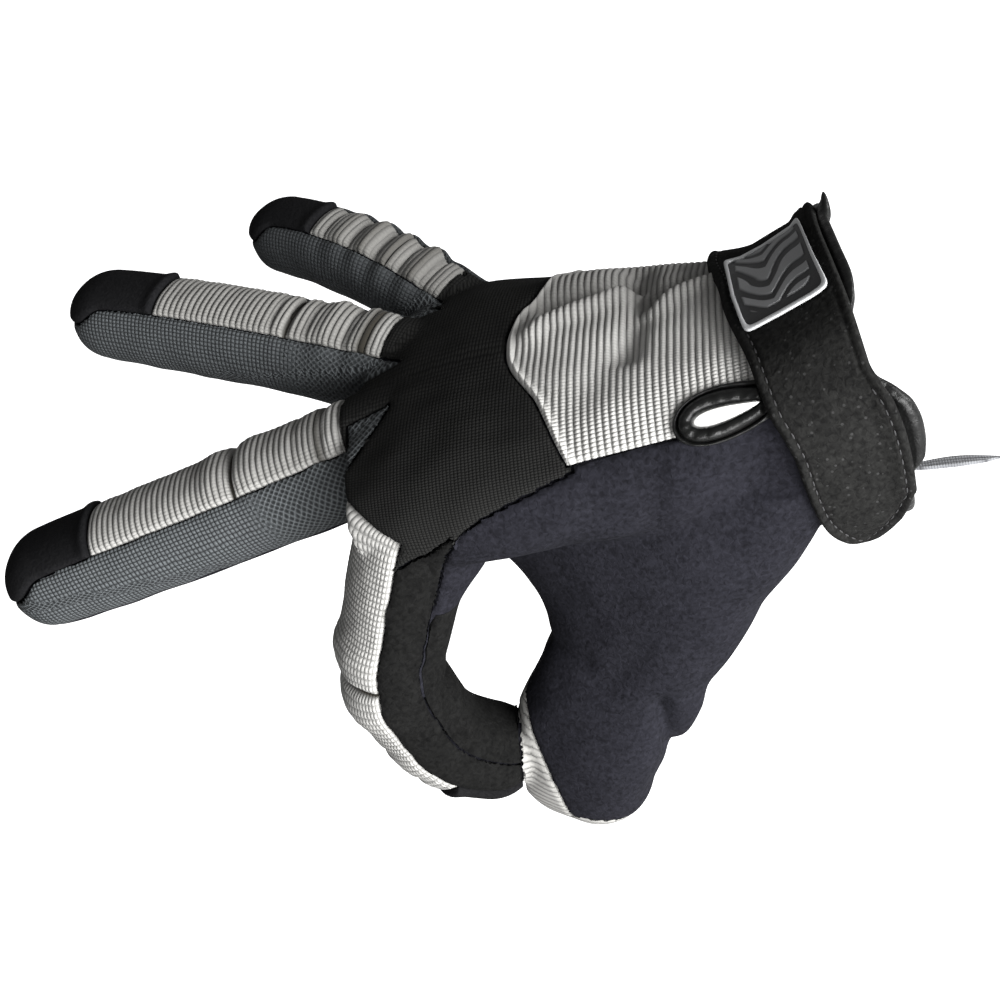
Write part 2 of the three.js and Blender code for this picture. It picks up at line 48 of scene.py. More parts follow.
def aimCamera():
    azimuth, elevation, roll = (math.radians(viewpoint[name]) for name in ("azimuth", "elevation", "roll"))
    away = np.array([math.sin(azimuth) * math.cos(elevation), -math.cos(azimuth) * math.cos(elevation),
                     math.sin(elevation)])
    level = np.array([math.cos(azimuth), math.sin(azimuth), 0.0])
    upright = np.cross(away, level)
    right = level * math.cos(roll) + upright * math.sin(roll)
    up = upright * math.cos(roll) - level * math.sin(roll)
    bpy.ops.object.camera_add()
    camera = bpy.context.object
    camera.name = "photoCamera"
    turned = Matrix(np.stack([right, up, away], axis=1).tolist()).to_4x4()
    camera.matrix_world = Matrix.Translation(viewpoint["place"]) @ turned
    camera.data.lens = viewpoint["lens"]
    camera.data.sensor_width = 36
    bpy.context.scene.camera = camera


aimCamera()

# The skin that every panel lies on. Lengths are in mm, and become metres where a mesh gets its points.
glove = {"cuffLength": 9, "wristBack": 4, "wristOut": 8, "rootLength": 24, "crease": 44, "seamGap": 0.06,
         "rounding": 9, "tipDome": 10}


def unit(v):
    return v / np.linalg.norm(v, axis=-1, keepdims=True)


wrist = np.array([-glove["cuffLength"], 0.0, 0.0])
leanBack, leanOut = math.radians(glove["wristBack"]), math.radians(glove["wristOut"])
towardTips = np.array([-math.cos(leanOut) * math.cos(leanBack), math.sin(leanOut) * math.cos(leanBack),
                       math.sin(leanBack)])
towardThumb = np.array([-math.sin(leanOut), -math.cos(leanOut), 0.0])
towardBack = np.cross(towardTips, towardThumb)


def handDirection(tips, thumb, back):
    return tips * towardTips + thumb * towardThumb + back * towardBack


def inHand(tips, thumb, back):
    return wrist + handDirection(tips, thumb, back)


fingers = {
    "forefinger": {"knuckle": (89, 26, 0), "bones": (45, 27, 24), "spread": 22, "bend": (64.5, 36.5, 39),
                   "half": 12.3, "stripFrom": 27, "pleat": 65.5, "capFrom": 98, "seam": 62, "pad": 118,
                   "web": 6.5},
    "middle": {"knuckle": (91, 4, 3), "bones": (49, 31, 28), "spread": 5, "bend": (12.5, -1.5, -1),
               "half": 12.6, "stripFrom": 37, "pleat": 66, "capFrom": 105, "seam": 52, "pad": 138},
    "ring": {"knuckle": (85, -17, 1), "bones": (44, 29, 28), "spread": -16, "bend": (-14, 3, 2),
             "half": 11.5, "stripFrom": 39.5, "pleat": 64, "capFrom": 99, "seam": 43, "pad": 138},
    "little": {"knuckle": (76, -36, -4), "bones": (35, 21, 22), "spread": -31, "bend": (-29, 15, 11),
               "half": 10.2, "stripFrom": 42, "pleat": 57, "capFrom": 79, "seam": 36, "pad": 138},
}
# The cloth swells between the forefinger's root and the palm: where, the finger's share and the web's share.
webRows = [(30, 1.0, 1.0), (34, 1.0, 0.85), (39, 1.02, 0.4)]
# Folds across the back of each finger: where along it, how deep in mm and how far they reach.
fingerFolds = {
    "forefinger": [(60, -1.4, 5), (65.5, 1.2, 1.4), (71, -1.4, 5), (84, 0.6, 2), (92, 0.7, 1.3)],
    "middle": [(42, 0.9, 1.4), (49, 0.4, 2), (61, -0.7, 5), (66, 1.1, 1.2), (71, -0.7, 5)],
    "ring": [(46, -0.5, 1.6), (49, 1.2, 1.3), (54, -1.0, 3), (59, 0.7, 1.2), (64, 1.0, 1.3), (68, 0.9, 0.9)],
    "little": [(47, 1.2, 1.6), (50.5, -1.7, 2.4), (54, 1.0, 1.3), (57.5, -1.2, 1.8), (60.5, 1.2, 1.3),
               (64, -1.2, 2.0), (67.5, 1.2, 1.3), (71, -0.7, 2), (75, 0.7, 1.4)],
}


def roundedPath(corners, rounding):
    line = [corners[0]]
    for before, corner, after in zip(corners, corners[1:], corners[2:]):
        back, on = np.linalg.norm(before - corner), np.linalg.norm(after - corner)
        reach = min(rounding, back / 2.2, on / 2.2)
        start, stop = corner + (before - corner) * reach / back, corner + (after - corner) * reach / on
        for k in np.linspace(0, 1, 25):
            line.append((1 - k) ** 2 * start + 2 * k * (1 - k) * corner + k * k * stop)
    line = np.array(line + [corners[-1]])
    return line, np.concatenate([[0], np.cumsum(np.linalg.norm(np.diff(line, axis=0), axis=1))])


def smoothed(values, spread):
    reach = int(spread * 3)
    weights = np.exp(-0.5 * (np.arange(-reach, reach + 1) / spread) ** 2)
    return np.convolve(np.pad(values, reach, mode="edge"), weights / weights.sum(), mode="valid")


# A tube of cloth round a finger, the thumb or the hand. Rows give the distance along it and how far the skin
# is from its line on the thumb side, the other side, the back and the palm side. The tip closes in a dome.
tubeSteps = {"before": 14, "beyond": 16, "step": 0.25, "tipLong": 3, "tipSteps": 121, "aim": 0.8,
             "smoothing": 7, "plainBelow": -0.9}


def makeTube(corners, rounding, side, rows, power=2.3, dome=None, relief=None):
    line, run = roundedPath([np.array(corner, float) for corner in corners], rounding)
    length, step, tipLong = run[-1], tubeSteps["step"], tubeSteps["tipLong"]
    stop = length + tubeSteps["beyond"] if dome is None else dome[1]
    even = np.arange(-tubeSteps["before"], stop + 0.3, step)
    at = np.concatenate([np.arange(-tubeSteps["before"], stop - tipLong, step),
                         np.linspace(stop - tipLong, stop, tubeSteps["tipSteps"])])
    inside = np.clip(at, 0, length)

    def onLine(where):
        return np.stack([np.interp(where, run, line[:, k]) for k in range(3)], axis=1)

    aim = tubeSteps["aim"]
    along = unit(onLine(np.minimum(inside + aim, length)) - onLine(np.maximum(inside - aim, 0)))
    across = side(at)
    across = unit(across - (across * along).sum(1, keepdims=True) * along)
    tip = np.zeros(len(at)) if dome is None else np.clip((at - dome[0]) / (dome[1] - dome[0]), 0, 1)
    tube = {"at": at, "length": length, "power": 2 / power, "relief": relief, "along": along, "side": across,
            "back": np.cross(along, across), "tip": tip,
            "point": onLine(inside) + along * (at - inside)[:, None]}
    places = [row[0] for row in rows]
    for k, name in enumerate(("thumbReach", "littleReach", "backReach", "palmReach"), start=1):
        reach = smoothed(np.interp(even, places, [row[k] for row in rows]), tubeSteps["smoothing"])
        tube[name] = np.interp(at, even, reach) * np.sqrt(1 - tip ** 2)
    return tube


def skin(tube, at, turn, lift=0.0):
    at, turn, lift = np.broadcast_arrays(*(np.asarray(values, float) for values in (at, turn, lift)))

    def read(name):
        table = tube[name]
        if table.ndim == 1:
            return np.interp(at, tube["at"], table)
        return np.stack([np.interp(at, tube["at"], table[:, k]) for k in range(3)], axis=-1)

    s, c = np.sin(np.radians(turn)), np.cos(np.radians(turn))
    across = np.sign(s) * np.abs(s) ** tube["power"]
    up = np.sign(c) * np.abs(c) ** tube["power"]
    if tube["relief"]:
        lift = lift + np.where(lift > tubeSteps["plainBelow"], tube["relief"](at, turn), 0)
    tip = read("tip")
    outward = lift * np.sqrt(1 - tip ** 2)
    wide = across * (np.where(across > 0, read("thumbReach"), read("littleReach")) + outward)
    tall = up * (np.where(up > 0, read("backReach"), read("palmReach")) + outward)
    return (read("point") + read("side") * wide[..., None] + read("back") * tall[..., None]
            + read("along") * (lift * tip)[..., None])


def fingerRelief(folds):
    def relief(at, turn):
        away = np.abs((turn + 180) % 360 - 180)
        share = np.clip(1.35 - away / 62, 0, 1)
        return -share * sum(deep * np.exp(-2 * ((at - place) / reach) ** 2) for place, deep, reach in folds)
    return relief


def fingerTube(name):
    finger = fingers[name]
    cosine, sine = math.cos(math.radians(finger["spread"])), math.sin(math.radians(finger["spread"]))
    corners = [inHand(*finger["knuckle"])]
    turned = 0
    for bone, bend in zip(finger["bones"], finger["bend"]):
        turned += math.radians(bend)
        step = handDirection(cosine * math.cos(turned), sine * math.cos(turned), -math.sin(turned))
        corners.append(corners[-1] + bone * step)
    corners.insert(0, corners[0] + handDirection(-glove["rootLength"], -finger["knuckle"][1] * 0.15, -2))
    end = roundedPath(corners, glove["rounding"])[1][-1]
    shares = [(0, 0.7, 0.7, 0.7), (20, 0.97, 0.95, 0.95), (glove["crease"], 1.02, 1.02, 1.04),
              (end * 0.5, 0.98, 0.97, 0.98), (end * 0.7, 0.98, 0.97, 0.96), (end - 14, 0.95, 0.93, 0.91),
              (end - 8, 0.93, 0.9, 0.88)]
    half = finger["half"]
    rows = [(at, half * across, half * across, half * back, half * palm) for at, across, back, palm in shares]
    if "web" in finger:
        rows[2:2] = [(at, half, half, half, half * palm + finger["web"] * web) for at, palm, web in webRows]
    side = handDirection(-sine, cosine, 0)
    return makeTube(corners, glove["rounding"], lambda at: np.tile(side, (len(at), 1)), rows,
                    dome=(end - glove["tipDome"], end + 1), relief=fingerRelief(fingerFolds[name]))


def handSide(at):
    k = np.clip(at / 40, 0, 1)[:, None]
    k = k * k * (3 - 2 * k)
    return np.array([0.0, -1.0, 0.0]) * (1 - k) + towardThumb * k


tubes = {name: fingerTube(name) for name in fingers}
handRows = [(0, 32, 36, 30, 31), (12, 32, 36, 24, 31), (24, 32, 38, 19, 28), (36, 35, 41, 18.4, 22),
            (61, 39, 48, 18, 18), (86, 41, 50, 18, 17), (100, 40, 48, 16.5, 16), (112, 36, 40, 13, 13)]
handCorners = [(0, 0, 0), wrist, inHand(40, 0, 0), inHand(106, 0, -2)]
tubes["hand"] = makeTube(handCorners, 16, handSide, handRows, power=2.5)
thumbCorners = [inHand(40, 14, -4), inHand(48, 19, -50), inHand(67, 26, -74), inHand(73.2, 26, -100.8)]
thumbEnd = roundedPath(thumbCorners, 12)[1][-1]
thumbRows = [(0, 16, 16, 52, 42), (13, 17, 17, 52, 38), (22, 17, 17, 42, 34), (33, 16, 16, 30, 27),
             (thumbEnd - 52, 14, 15, 22.3, 18), (thumbEnd - 38, 13, 11.5, 18.6, 17.5),
             (thumbEnd - 24, 13, 10.5, 20.2, 17), (thumbEnd - 14, 12.4, 10.4, 19.4, 15)]
tubes["thumb"] = makeTube(thumbCorners, 12, lambda at: np.tile(handDirection(0.3, 1, 0), (len(at), 1)),
                          thumbRows, dome=(thumbEnd - 13, thumbEnd + 1))


# Small helpers for meshes
def deselectAll():
    bpy.ops.object.select_all(action="DESELECT")


def activate(piece):
    deselectAll()
    piece.select_set(True)
    bpy.context.view_layer.objects.active = piece


# Adds one of Blender's own shapes under a name.
def addShape(name, add, **settings):
    deselectAll()
    add(**settings)
    piece = bpy.context.object
    piece.name = name
    return piece


def readArray(items, name, width=1, kind=np.float32):
    values = np.empty(len(items) * width, kind)
    items.foreach_get(name, values)
    return values.reshape(-1, width) if width > 1 else values


def readPoints(piece):
    return readArray(piece.data.vertices, "co", 3).astype(float)


def readNormals(piece):
    return readArray(piece.data.vertex_normals, "vector", 3).astype(float)


def readCorners(piece):
    return readArray(piece.data.loops, "vertex_index", kind=np.int32)


def writePoints(piece, points):
    piece.data.vertices.foreach_set("co", np.asarray(points, np.float32).ravel())
    piece.data.update()


def turnOutwards(piece):
    activate(piece)
    bpy.ops.object.mode_set(mode="EDIT")
    bpy.ops.mesh.select_all(action="SELECT")
    bpy.ops.mesh.remove_doubles(threshold=1e-6)
    bpy.ops.mesh.normals_make_consistent(inside=False)
    mesh = bmesh.from_edit_mesh(piece.data)
    if mesh.calc_volume(signed=True) < 0:
        bpy.ops.mesh.flip_normals()
    bpy.ops.object.mode_set(mode="OBJECT")


def applyModifier(piece, kind, **settings):
    activate(piece)
    modifier = piece.modifiers.new("shaping", kind)
    for name, value in settings.items():
        setattr(modifier, name, value)
    bpy.ops.object.modifier_apply(modifier="shaping")
    if piece.modifiers:
        print("glove: not applied:", kind, piece.name)
        piece.modifiers.clear()


def combine(piece, other, operation, keep=False):
    applyModifier(piece, "BOOLEAN", operation=operation, solver="MANIFOLD", object=other)
    if not keep:
        bpy.data.objects.remove(other)


def copyOf(piece, name):
    copy = piece.copy()
    copy.data = piece.data.copy()
    copy.name = name
    bpy.context.scene.collection.objects.link(copy)
    return copy


# Gentle unevenness in a cloth, the same in every run: a few waves in fixed directions.
waves = {"count": 7, "shortest": 0.7, "longest": 1.5, "phase": 6.28, "calm": 4}


def waviness(points, size, seed):
    random = np.random.default_rng(seed)
    total = np.zeros(len(points))
    for _ in range(waves["count"]):
        way = unit(random.normal(size=3))
        length = size * random.uniform(waves["shortest"], waves["longest"])
        total += np.sin(points @ (way * 2 * math.pi / length) + random.uniform(0, waves["phase"]))
    return total / waves["calm"]


# A smooth curve through the rows that doesn't overshoot them.
def through(xs, ys, x):
    xs, ys = np.array(xs, float), np.array(ys, float)
    h = np.diff(xs)
    d = np.diff(ys) / h
    m = np.zeros(len(xs))
    m[0], m[-1] = d[0], d[-1]
    for i in range(1, len(xs) - 1):
        if d[i - 1] * d[i] > 0:
            w1, w2 = 2 * h[i] + h[i - 1], h[i] + 2 * h[i - 1]
            m[i] = (w1 + w2) / (w1 / d[i - 1] + w2 / d[i])
    k = np.clip(np.searchsorted(xs, x) - 1, 0, len(h) - 1)
    t = np.clip((x - xs[k]) / h[k], 0, 1)
    return (ys[k] * (2 * t ** 3 - 3 * t ** 2 + 1) + m[k] * h[k] * (t ** 3 - 2 * t ** 2 + t)
            + ys[k + 1] * (3 * t ** 2 - 2 * t ** 3) + m[k + 1] * h[k] * (t ** 3 - t ** 2))


# The low and the high end that rows of (place, low, high) give at each place.
def spanAt(rows, place):
    places = [row[0] for row in rows]
    return through(places, [row[1] for row in rows], place), through(places, [row[2] for row in rows], place)


# A patch of a tube's skin: rows of (along, low turn, high turn), or of (turn, low along, high along).
def patchSpread(tube, by, rows, u, v, grow=0.0):
    half = tube["backReach"][len(tube["at"]) // 2]
    degrees = math.degrees(grow / half)
    endGrow, sideGrow = (grow, degrees) if by == "at" else (degrees, grow)
    place = rows[0][0] + (rows[-1][0] - rows[0][0]) * v
    low, high = spanAt(rows, place)
    low, high = low - sideGrow, high + sideGrow
    place = place + endGrow * (2 * v - 1)
    other = low + (high - low) * u
    return (place, other) if by == "at" else (other, place)


# A slab of cloth: a grid primitive pulled up into a closed block, whose points then go where `place` says.
# u runs across, v along, and w is 0 on the inner face and 1 on the outer face.
def slab(name, columns, rows, place):
    piece = addShape(name, bpy.ops.mesh.primitive_grid_add, x_subdivisions=columns, y_subdivisions=rows,
                     size=1)
    bpy.ops.object.mode_set(mode="EDIT")
    bpy.ops.mesh.select_all(action="SELECT")
    bpy.ops.mesh.extrude_region_move(TRANSFORM_OT_translate={"value": (0, 0, 1)})
    bpy.ops.object.mode_set(mode="OBJECT")
    shares = readPoints(piece)
    points, sheet = place(shares[:, 0] + 0.5, shares[:, 1] + 0.5, shares[:, 2])
    writePoints(piece, points * 0.001)
    writeSheet(piece, sheet)
    return piece


# The sheet map holds where each point lies on the flat cloth, in tenths of a metre.
def writeSheet(piece, sheet):
    writeSheetCorners(piece, np.asarray(sheet, np.float32)[readCorners(piece)])


def writeSheetCorners(piece, sheet):
    layer = piece.data.uv_layers.get("sheet") or piece.data.uv_layers.new(name="sheet")
    layer.data.foreach_set("uv", (sheet * 0.01).astype(np.float32).ravel())


def readSheet(piece):
    sheet = np.zeros((len(piece.data.vertices), 2))
    sheet[readCorners(piece)] = readArray(piece.data.uv_layers["sheet"].data, "uv", 2) * 100
    return sheet


def writeShare(piece, name, values):
    attribute = piece.data.attributes.get(name) or piece.data.attributes.new(name, "FLOAT", "POINT")
    attribute.data.foreach_set("value", np.clip(values, 0, 1).astype(np.float32))


def writeEven(piece, name, value):
    writeShare(piece, name, np.full(len(piece.data.vertices), value))


def alongTube(tube, name, at):
    return np.array([np.interp(at, tube["at"], tube[name][:, k]) for k in range(3)])


# A closed tube body, made from a sphere whose rings are spread along the tube.
def tubeBody(name, tube, low, high, sides, rings, lift=0.0):
    piece = addShape(name, bpy.ops.mesh.primitive_uv_sphere_add, segments=sides, ring_count=rings, radius=1)
    ball = readPoints(piece)
    share = np.arccos(np.clip(ball[:, 2], -1, 1)) / math.pi
    turn = np.degrees(np.arctan2(ball[:, 1], ball[:, 0]))
    points = skin(tube, low + (high - low) * share, turn, lift)
    for pole, at in ((ball[:, 2] > 0.99999, low), (ball[:, 2] < -0.99999, high)):
        points[pole] = alongTube(tube, "point", at)
    writePoints(piece, points * 0.001)
    turnOutwards(piece)
    return piece


def cutter(tube, by, rows, inward=4.5, outward=4.5, grow=0.0, columns=10, steps=40):
    def place(u, v, w):
        at, turn = patchSpread(tube, by, rows, u, v, grow)
        points = skin(tube, at, turn, np.where(w > 0.5, outward, -inward))
        return points, np.zeros((len(points), 2))
    return asCutter(slab("cutter", columns, steps, place))


# Every cutter's faces carry the second slot, so the walls that it cuts can be told from the cloth's faces.
def asCutter(piece):
    turnOutwards(piece)
    useMaterials(piece, 1, clothFace, cutFace)
    return piece


def useMaterials(piece, index, *materials):
    piece.data.materials.clear()
    for material in materials:
        piece.data.materials.append(material)
    count = len(piece.data.polygons)
    piece.data.polygons.foreach_set("material_index", np.full(count, index, np.int32))


# A block from low to high along each of three axes.
def blockCutter(place, axes, spans):
    block = addShape("cutter", bpy.ops.mesh.primitive_cube_add, size=1)
    shares = readPoints(block) + 0.5
    points = place + sum(axis * (low + (high - low) * shares[:, k:k + 1])
                         for k, (axis, (low, high)) in enumerate(zip(axes, spans)))
    writePoints(block, points * 0.001)
    return asCutter(block)


def crossAxes(facing):
    across = unit(np.cross(facing, [0, 0, 1.0]))
    return across, np.cross(facing, across)


clothFace = bpy.data.materials.new("clothFace")
cutFace = bpy.data.materials.new("cutFace")

# Folds that lie over several panels: each is a line of (tube, along, turn) with its depth and reach in mm. A
# negative depth is a ridge.
folds = [
    {"line": [("thumb", 74, 178), ("thumb", 66, 150), ("thumb", 58, 122)], "deep": 2.4, "reach": 2.2},
    {"line": [("thumb", 67, 178), ("thumb", 58, 160)], "deep": -2.0, "reach": 4.5},
    {"line": [("thumb", 60, 0), ("thumb", 59, 40), ("thumb", 57, 66)], "deep": 1.2, "reach": 2.6},
    {"line": [("thumb", 47, 96), ("thumb", 58, 84), ("thumb", 66, 55)], "deep": 0.8, "reach": 4},
    {"line": [("hand", 45, 78), ("hand", 48, 106)], "deep": 1.0, "reach": 3.2},
    {"line": [("hand", 58, 92), ("hand", 66, 112)], "deep": 0.8, "reach": 4},
    {"line": [("hand", 24, 90), ("hand", 34, 112), ("hand", 40, 130)], "deep": 0.9, "reach": 4.5},
    {"line": [("forefinger", 71, 176), ("forefinger", 74, 140), ("forefinger", 84, 118)], "deep": 1.6,
     "reach": 2.2},
    {"line": [("forefinger", 82, 170), ("forefinger", 84, 130), ("forefinger", 93, 97)], "deep": 0.6,
     "reach": 2.4},
    {"line": [("forefinger", 29, 90), ("forefinger", 34, 95), ("forefinger", 42, 101),
              ("forefinger", 52, 112)], "deep": 0.8, "reach": 0.8},
    {"line": [("forefinger", 53, 100), ("forefinger", 56, 138)], "deep": 0.7, "reach": 1.3},
    {"line": [("forefinger", 60, 98), ("forefinger", 62, 140)], "deep": 0.7, "reach": 1.8},
    {"line": [("hand", 70, -3), ("hand", 68, -6), ("hand", 61, -9), ("hand", 55, -12), ("hand", 51, -17)],
     "deep": -1.9, "reach": 3.0},
    {"line": [("hand", 67, -16), ("hand", 60, -19), ("hand", 53, -23), ("hand", 50, -27)], "deep": 3.0,
     "reach": 3.6},
    {"line": [("hand", 66, -34), ("hand", 57, -35)], "deep": -1.5, "reach": 6},
    {"line": [("hand", 45, -4), ("hand", 38, -11), ("hand", 30, -15)], "deep": -1.7, "reach": 3.0},
    {"line": [("hand", 44, -14), ("hand", 37, -20), ("hand", 30, -24)], "deep": 2.4, "reach": 3.2},
    {"line": [("hand", 49, 10), ("hand", 46, -6), ("hand", 45, -15), ("hand", 47, -26), ("hand", 48, -44)],
     "deep": 2.6, "reach": 3.4},
    {"line": [("hand", 68, -50), ("hand", 56, -46), ("hand", 45, -42), ("hand", 33, -40)], "deep": 1.6,
     "reach": 11},
    {"line": [("hand", 30, 26), ("hand", 42, 32), ("hand", 52, 34)], "deep": -0.6, "reach": 6},
    {"line": [("hand", 52, 8), ("hand", 58, 30)], "deep": 0.6, "reach": 5},
]


for fold in folds:
    fold["points"] = np.array([skin(tubes[tube], at, turn) for tube, at, turn in fold["line"]])


def foldLift(points):
    lift = np.zeros(len(points))
    for fold in folds:
        nearest = np.full(len(points), 1e9)
        for start, stop in zip(fold["points"], fold["points"][1:]):
            run = stop - start
            k = np.clip(((points - start) @ run) / (run @ run), 0, 1)
            nearest = np.minimum(nearest, np.linalg.norm(points - start - k[:, None] * run, axis=1))
        lift -= fold["deep"] * np.exp(-(nearest / fold["reach"]) ** 2)
    return lift


# The whole skin, hollow and soft
hide = {"voxel": 0.9, "smoothing": 7, "cloth": 1.35, "waves": 0.16, "waveSize": 9, "liningVoxel": 1.9,
        "lining": 0.45, "liningGap": 0.15, "mouthFacing": 0.8, "mouthFrom": 3, "mouthShift": 4.0}


def makeHide():
    body = tubeBody("hide", tubes["hand"], -6, 112.5, 160, 150)
    others = [tubeBody("thumb", tubes["thumb"], 0, thumbEnd + 1, 96, 150)]
    others += [tubeBody(name, tubes[name], 0, tubes[name]["length"] + 1, 72, 180) for name in fingers]
    for other in others:
        combine(body, other, "UNION")
    applyModifier(body, "REMESH", mode="VOXEL", voxel_size=hide["voxel"] * 0.001)
    applyModifier(body, "SMOOTH", factor=0.5, iterations=hide["smoothing"])
    points = readPoints(body) * 1000
    lift = foldLift(points) + hide["waves"] * waviness(points, hide["waveSize"], 3)
    writePoints(body, (points + readNormals(body) * lift[:, None]) * 0.001)
    faces = readCorners(body).reshape(-1, 4)
    surface = BVHTree.FromPolygons((readPoints(body) * 1000).tolist(), faces.tolist())
    lining = copyOf(body, "lining")
    hollowOut(body, 0, hide["cloth"])
    applyModifier(lining, "REMESH", mode="VOXEL", voxel_size=hide["liningVoxel"] * 0.001)
    under = hide["cloth"] + hide["liningGap"]
    hollowOut(lining, under, under + hide["lining"], 1)
    return body, lining, surface


# Sinks a closed body by one depth and takes out its copy sunk by the other, which leaves a thin shell that is
# open at the mouth. The inner faces get their own slot.
def hollowOut(body, outerDepth, innerDepth, innerSlot=0):
    hollow = copyOf(body, "hollow")
    for piece, depth, shift, index in ((body, outerDepth, 0.0, 0),
                                       (hollow, innerDepth, hide["mouthShift"], innerSlot)):
        points, normals = readPoints(piece) * 1000, readNormals(piece)
        mouth = (normals[:, 0] > hide["mouthFacing"]) & (points[:, 0] > hide["mouthFrom"])
        points = np.where(mouth[:, None], points + np.array([shift, 0, 0]), points - normals * depth)
        writePoints(piece, points * 0.001)
        useMaterials(piece, index, clothFace, cutFace)
    combine(body, hollow, "DIFFERENCE")


skinShell, lining, surface = makeHide()
print("glove: skin", len(skinShell.data.polygons), "faces")


def takeOut(name, cutters, clearers=None):
    tool = cutters[0]
    for other in cutters[1:]:
        combine(tool, other, "UNION")
    panel = copyOf(skinShell, name)
    if clearers is None:
        combine(skinShell, tool, "DIFFERENCE", keep=True)
    else:
        for other in clearers:
            combine(skinShell, other, "DIFFERENCE")
    combine(panel, tool, "INTERSECT")
    return panel


def clearAway(*cutters):
    for tool in cutters:
        combine(skinShell, tool, "DIFFERENCE")


# How far the smoothed skin stands above a finger's own tube, such as where the knuckle swells over its root.
def standsAbove(tube, at, turn, reach=8.0):
    outside, inside = skin(tube, at, turn, reach), skin(tube, at, turn, -0.8)
    lift = np.zeros(len(at))
    for k, (start, run) in enumerate(zip(outside, inside - outside)):
        place, _, _, distance = surface.ray_cast(start.tolist(), run.tolist(), float(np.linalg.norm(run)))
        if place is not None:
            lift[k] = max(0.0, reach - distance)
    return lift


# The forefinger and the thumb press flat on each other. A block on either side of that face trims what is cut
# from the finger or from the thumb, and a thin blade parts their cloth.
pinch = {"place": (-102.5, -16.3, -71.1), "facing": (0.966, 0.002, -0.258), "blade": 0.22, "reach": 34,
         "bladeReach": 26, "far": 30}


def pinchBlock(low, high, reach=pinch["reach"]):
    facing = unit(np.array(pinch["facing"]))
    wide = (-reach / 2, reach / 2)
    return blockCutter(np.array(pinch["place"]), (facing, *crossAxes(facing)), ((low, high), wide, wide))


def onFingerSide(piece):
    combine(piece, pinchBlock(-pinch["blade"] / 2, pinch["far"]), "DIFFERENCE")
    return piece


def onThumbSide(piece):
    combine(piece, pinchBlock(-pinch["far"], pinch["blade"] / 2), "DIFFERENCE")
    return piece


clearAway(pinchBlock(-pinch["blade"] / 2, pinch["blade"] / 2, pinch["bladeReach"]))


# Materials. A node's input takes another node's output, a number or a colour.
def put(tree, kind, inputs=None, **settings):
    node = tree.nodes.new(kind)
    for name, value in settings.items():
        setattr(node, name, value)
    for name, value in (inputs or {}).items():
        if isinstance(value, bpy.types.NodeSocket):
            tree.links.new(value, node.inputs[name])
        else:
            node.inputs[name].default_value = (*value, 1) if isinstance(value, tuple) else value
    return node


def maths(tree, operation, a, b=0.0):
    return put(tree, "ShaderNodeMath", {0: a, 1: b}, operation=operation).outputs[0]


def plus(tree, a, b):
    return maths(tree, "ADD", a, b)


def less(tree, a, b):
    return maths(tree, "SUBTRACT", a, b)


def times(tree, a, b):
    return maths(tree, "MULTIPLY", a, b)


def blendColour(tree, share, first, second):
    return put(tree, "ShaderNodeMix", {0: share, 6: first, 7: second}, data_type="RGBA").outputs[2]


def noiseOf(tree, vector, scale, detail=2.0, distortion=0.0):
    return put(tree, "ShaderNodeTexNoise", {"Vector": vector, "Scale": scale, "Detail": detail,
                                            "Distortion": distortion}).outputs[0]


def newGroup(name, inputs, outputs):
    group = bpy.data.node_groups.new(name, "ShaderNodeTree")
    for label, value in inputs.items():
        kind = "NodeSocketFloat" if isinstance(value, float) else "NodeSocketVector"
        socket = group.interface.new_socket(name=label, in_out="INPUT", socket_type=kind)
        if isinstance(value, float):
            socket.default_value = value
    for label in outputs:
        group.interface.new_socket(name=label, in_out="OUTPUT", socket_type="NodeSocketFloat")
    return group, group.nodes.new("NodeGroupInput").outputs


def closeGroup(group, made):
    output = group.nodes.new("NodeGroupOutput")
    for label, socket in made.items():
        group.links.new(socket, output.inputs[label])
    return group


# The sheet map's two lengths, in mm.
def sheetLengths(tree, sheet):
    parts = put(tree, "ShaderNodeSeparateXYZ", {0: sheet}).outputs
    return [times(tree, parts[k], 100.0) for k in (0, 1)]


# One wave of threads along a direction: 0 in the gap between two threads and 1 on top of each.
def threads(tree, distance, pitch, power):
    wave = maths(tree, "SINE", times(tree, maths(tree, "DIVIDE", distance, pitch), math.pi))
    return maths(tree, "POWER", maths(tree, "ABSOLUTE", wave), power)


def wobbled(tree, vector, size, amount):
    return times(tree, less(tree, noiseOf(tree, vector, size), 0.5), amount)


# Ribs across the cloth, each one a row of little cross stitches. The sheet map comes in as Sheet.
def makeRibWeave():
    group, given = newGroup("ribWeave", {"Sheet": None, "Pitch": 1.5, "Stitch": 0.95, "Cross": 0.4},
                            ["Thread", "Height", "Fleck"])
    across, along = sheetLengths(group, given["Sheet"])
    along = plus(group, along, wobbled(group, given["Sheet"], 40.0, 0.25))
    ridge = threads(group, along, given["Pitch"], 0.55)
    stitch = threads(group, across, given["Stitch"], 0.6)
    crossed = plus(group, times(group, less(group, stitch, 1.0), given["Cross"]), 1.0)
    thread = times(group, ridge, crossed)
    fleck = noiseOf(group, given["Sheet"], 160.0, 3.0)
    return closeGroup(group, {"Thread": thread, "Height": thread, "Fleck": fleck})


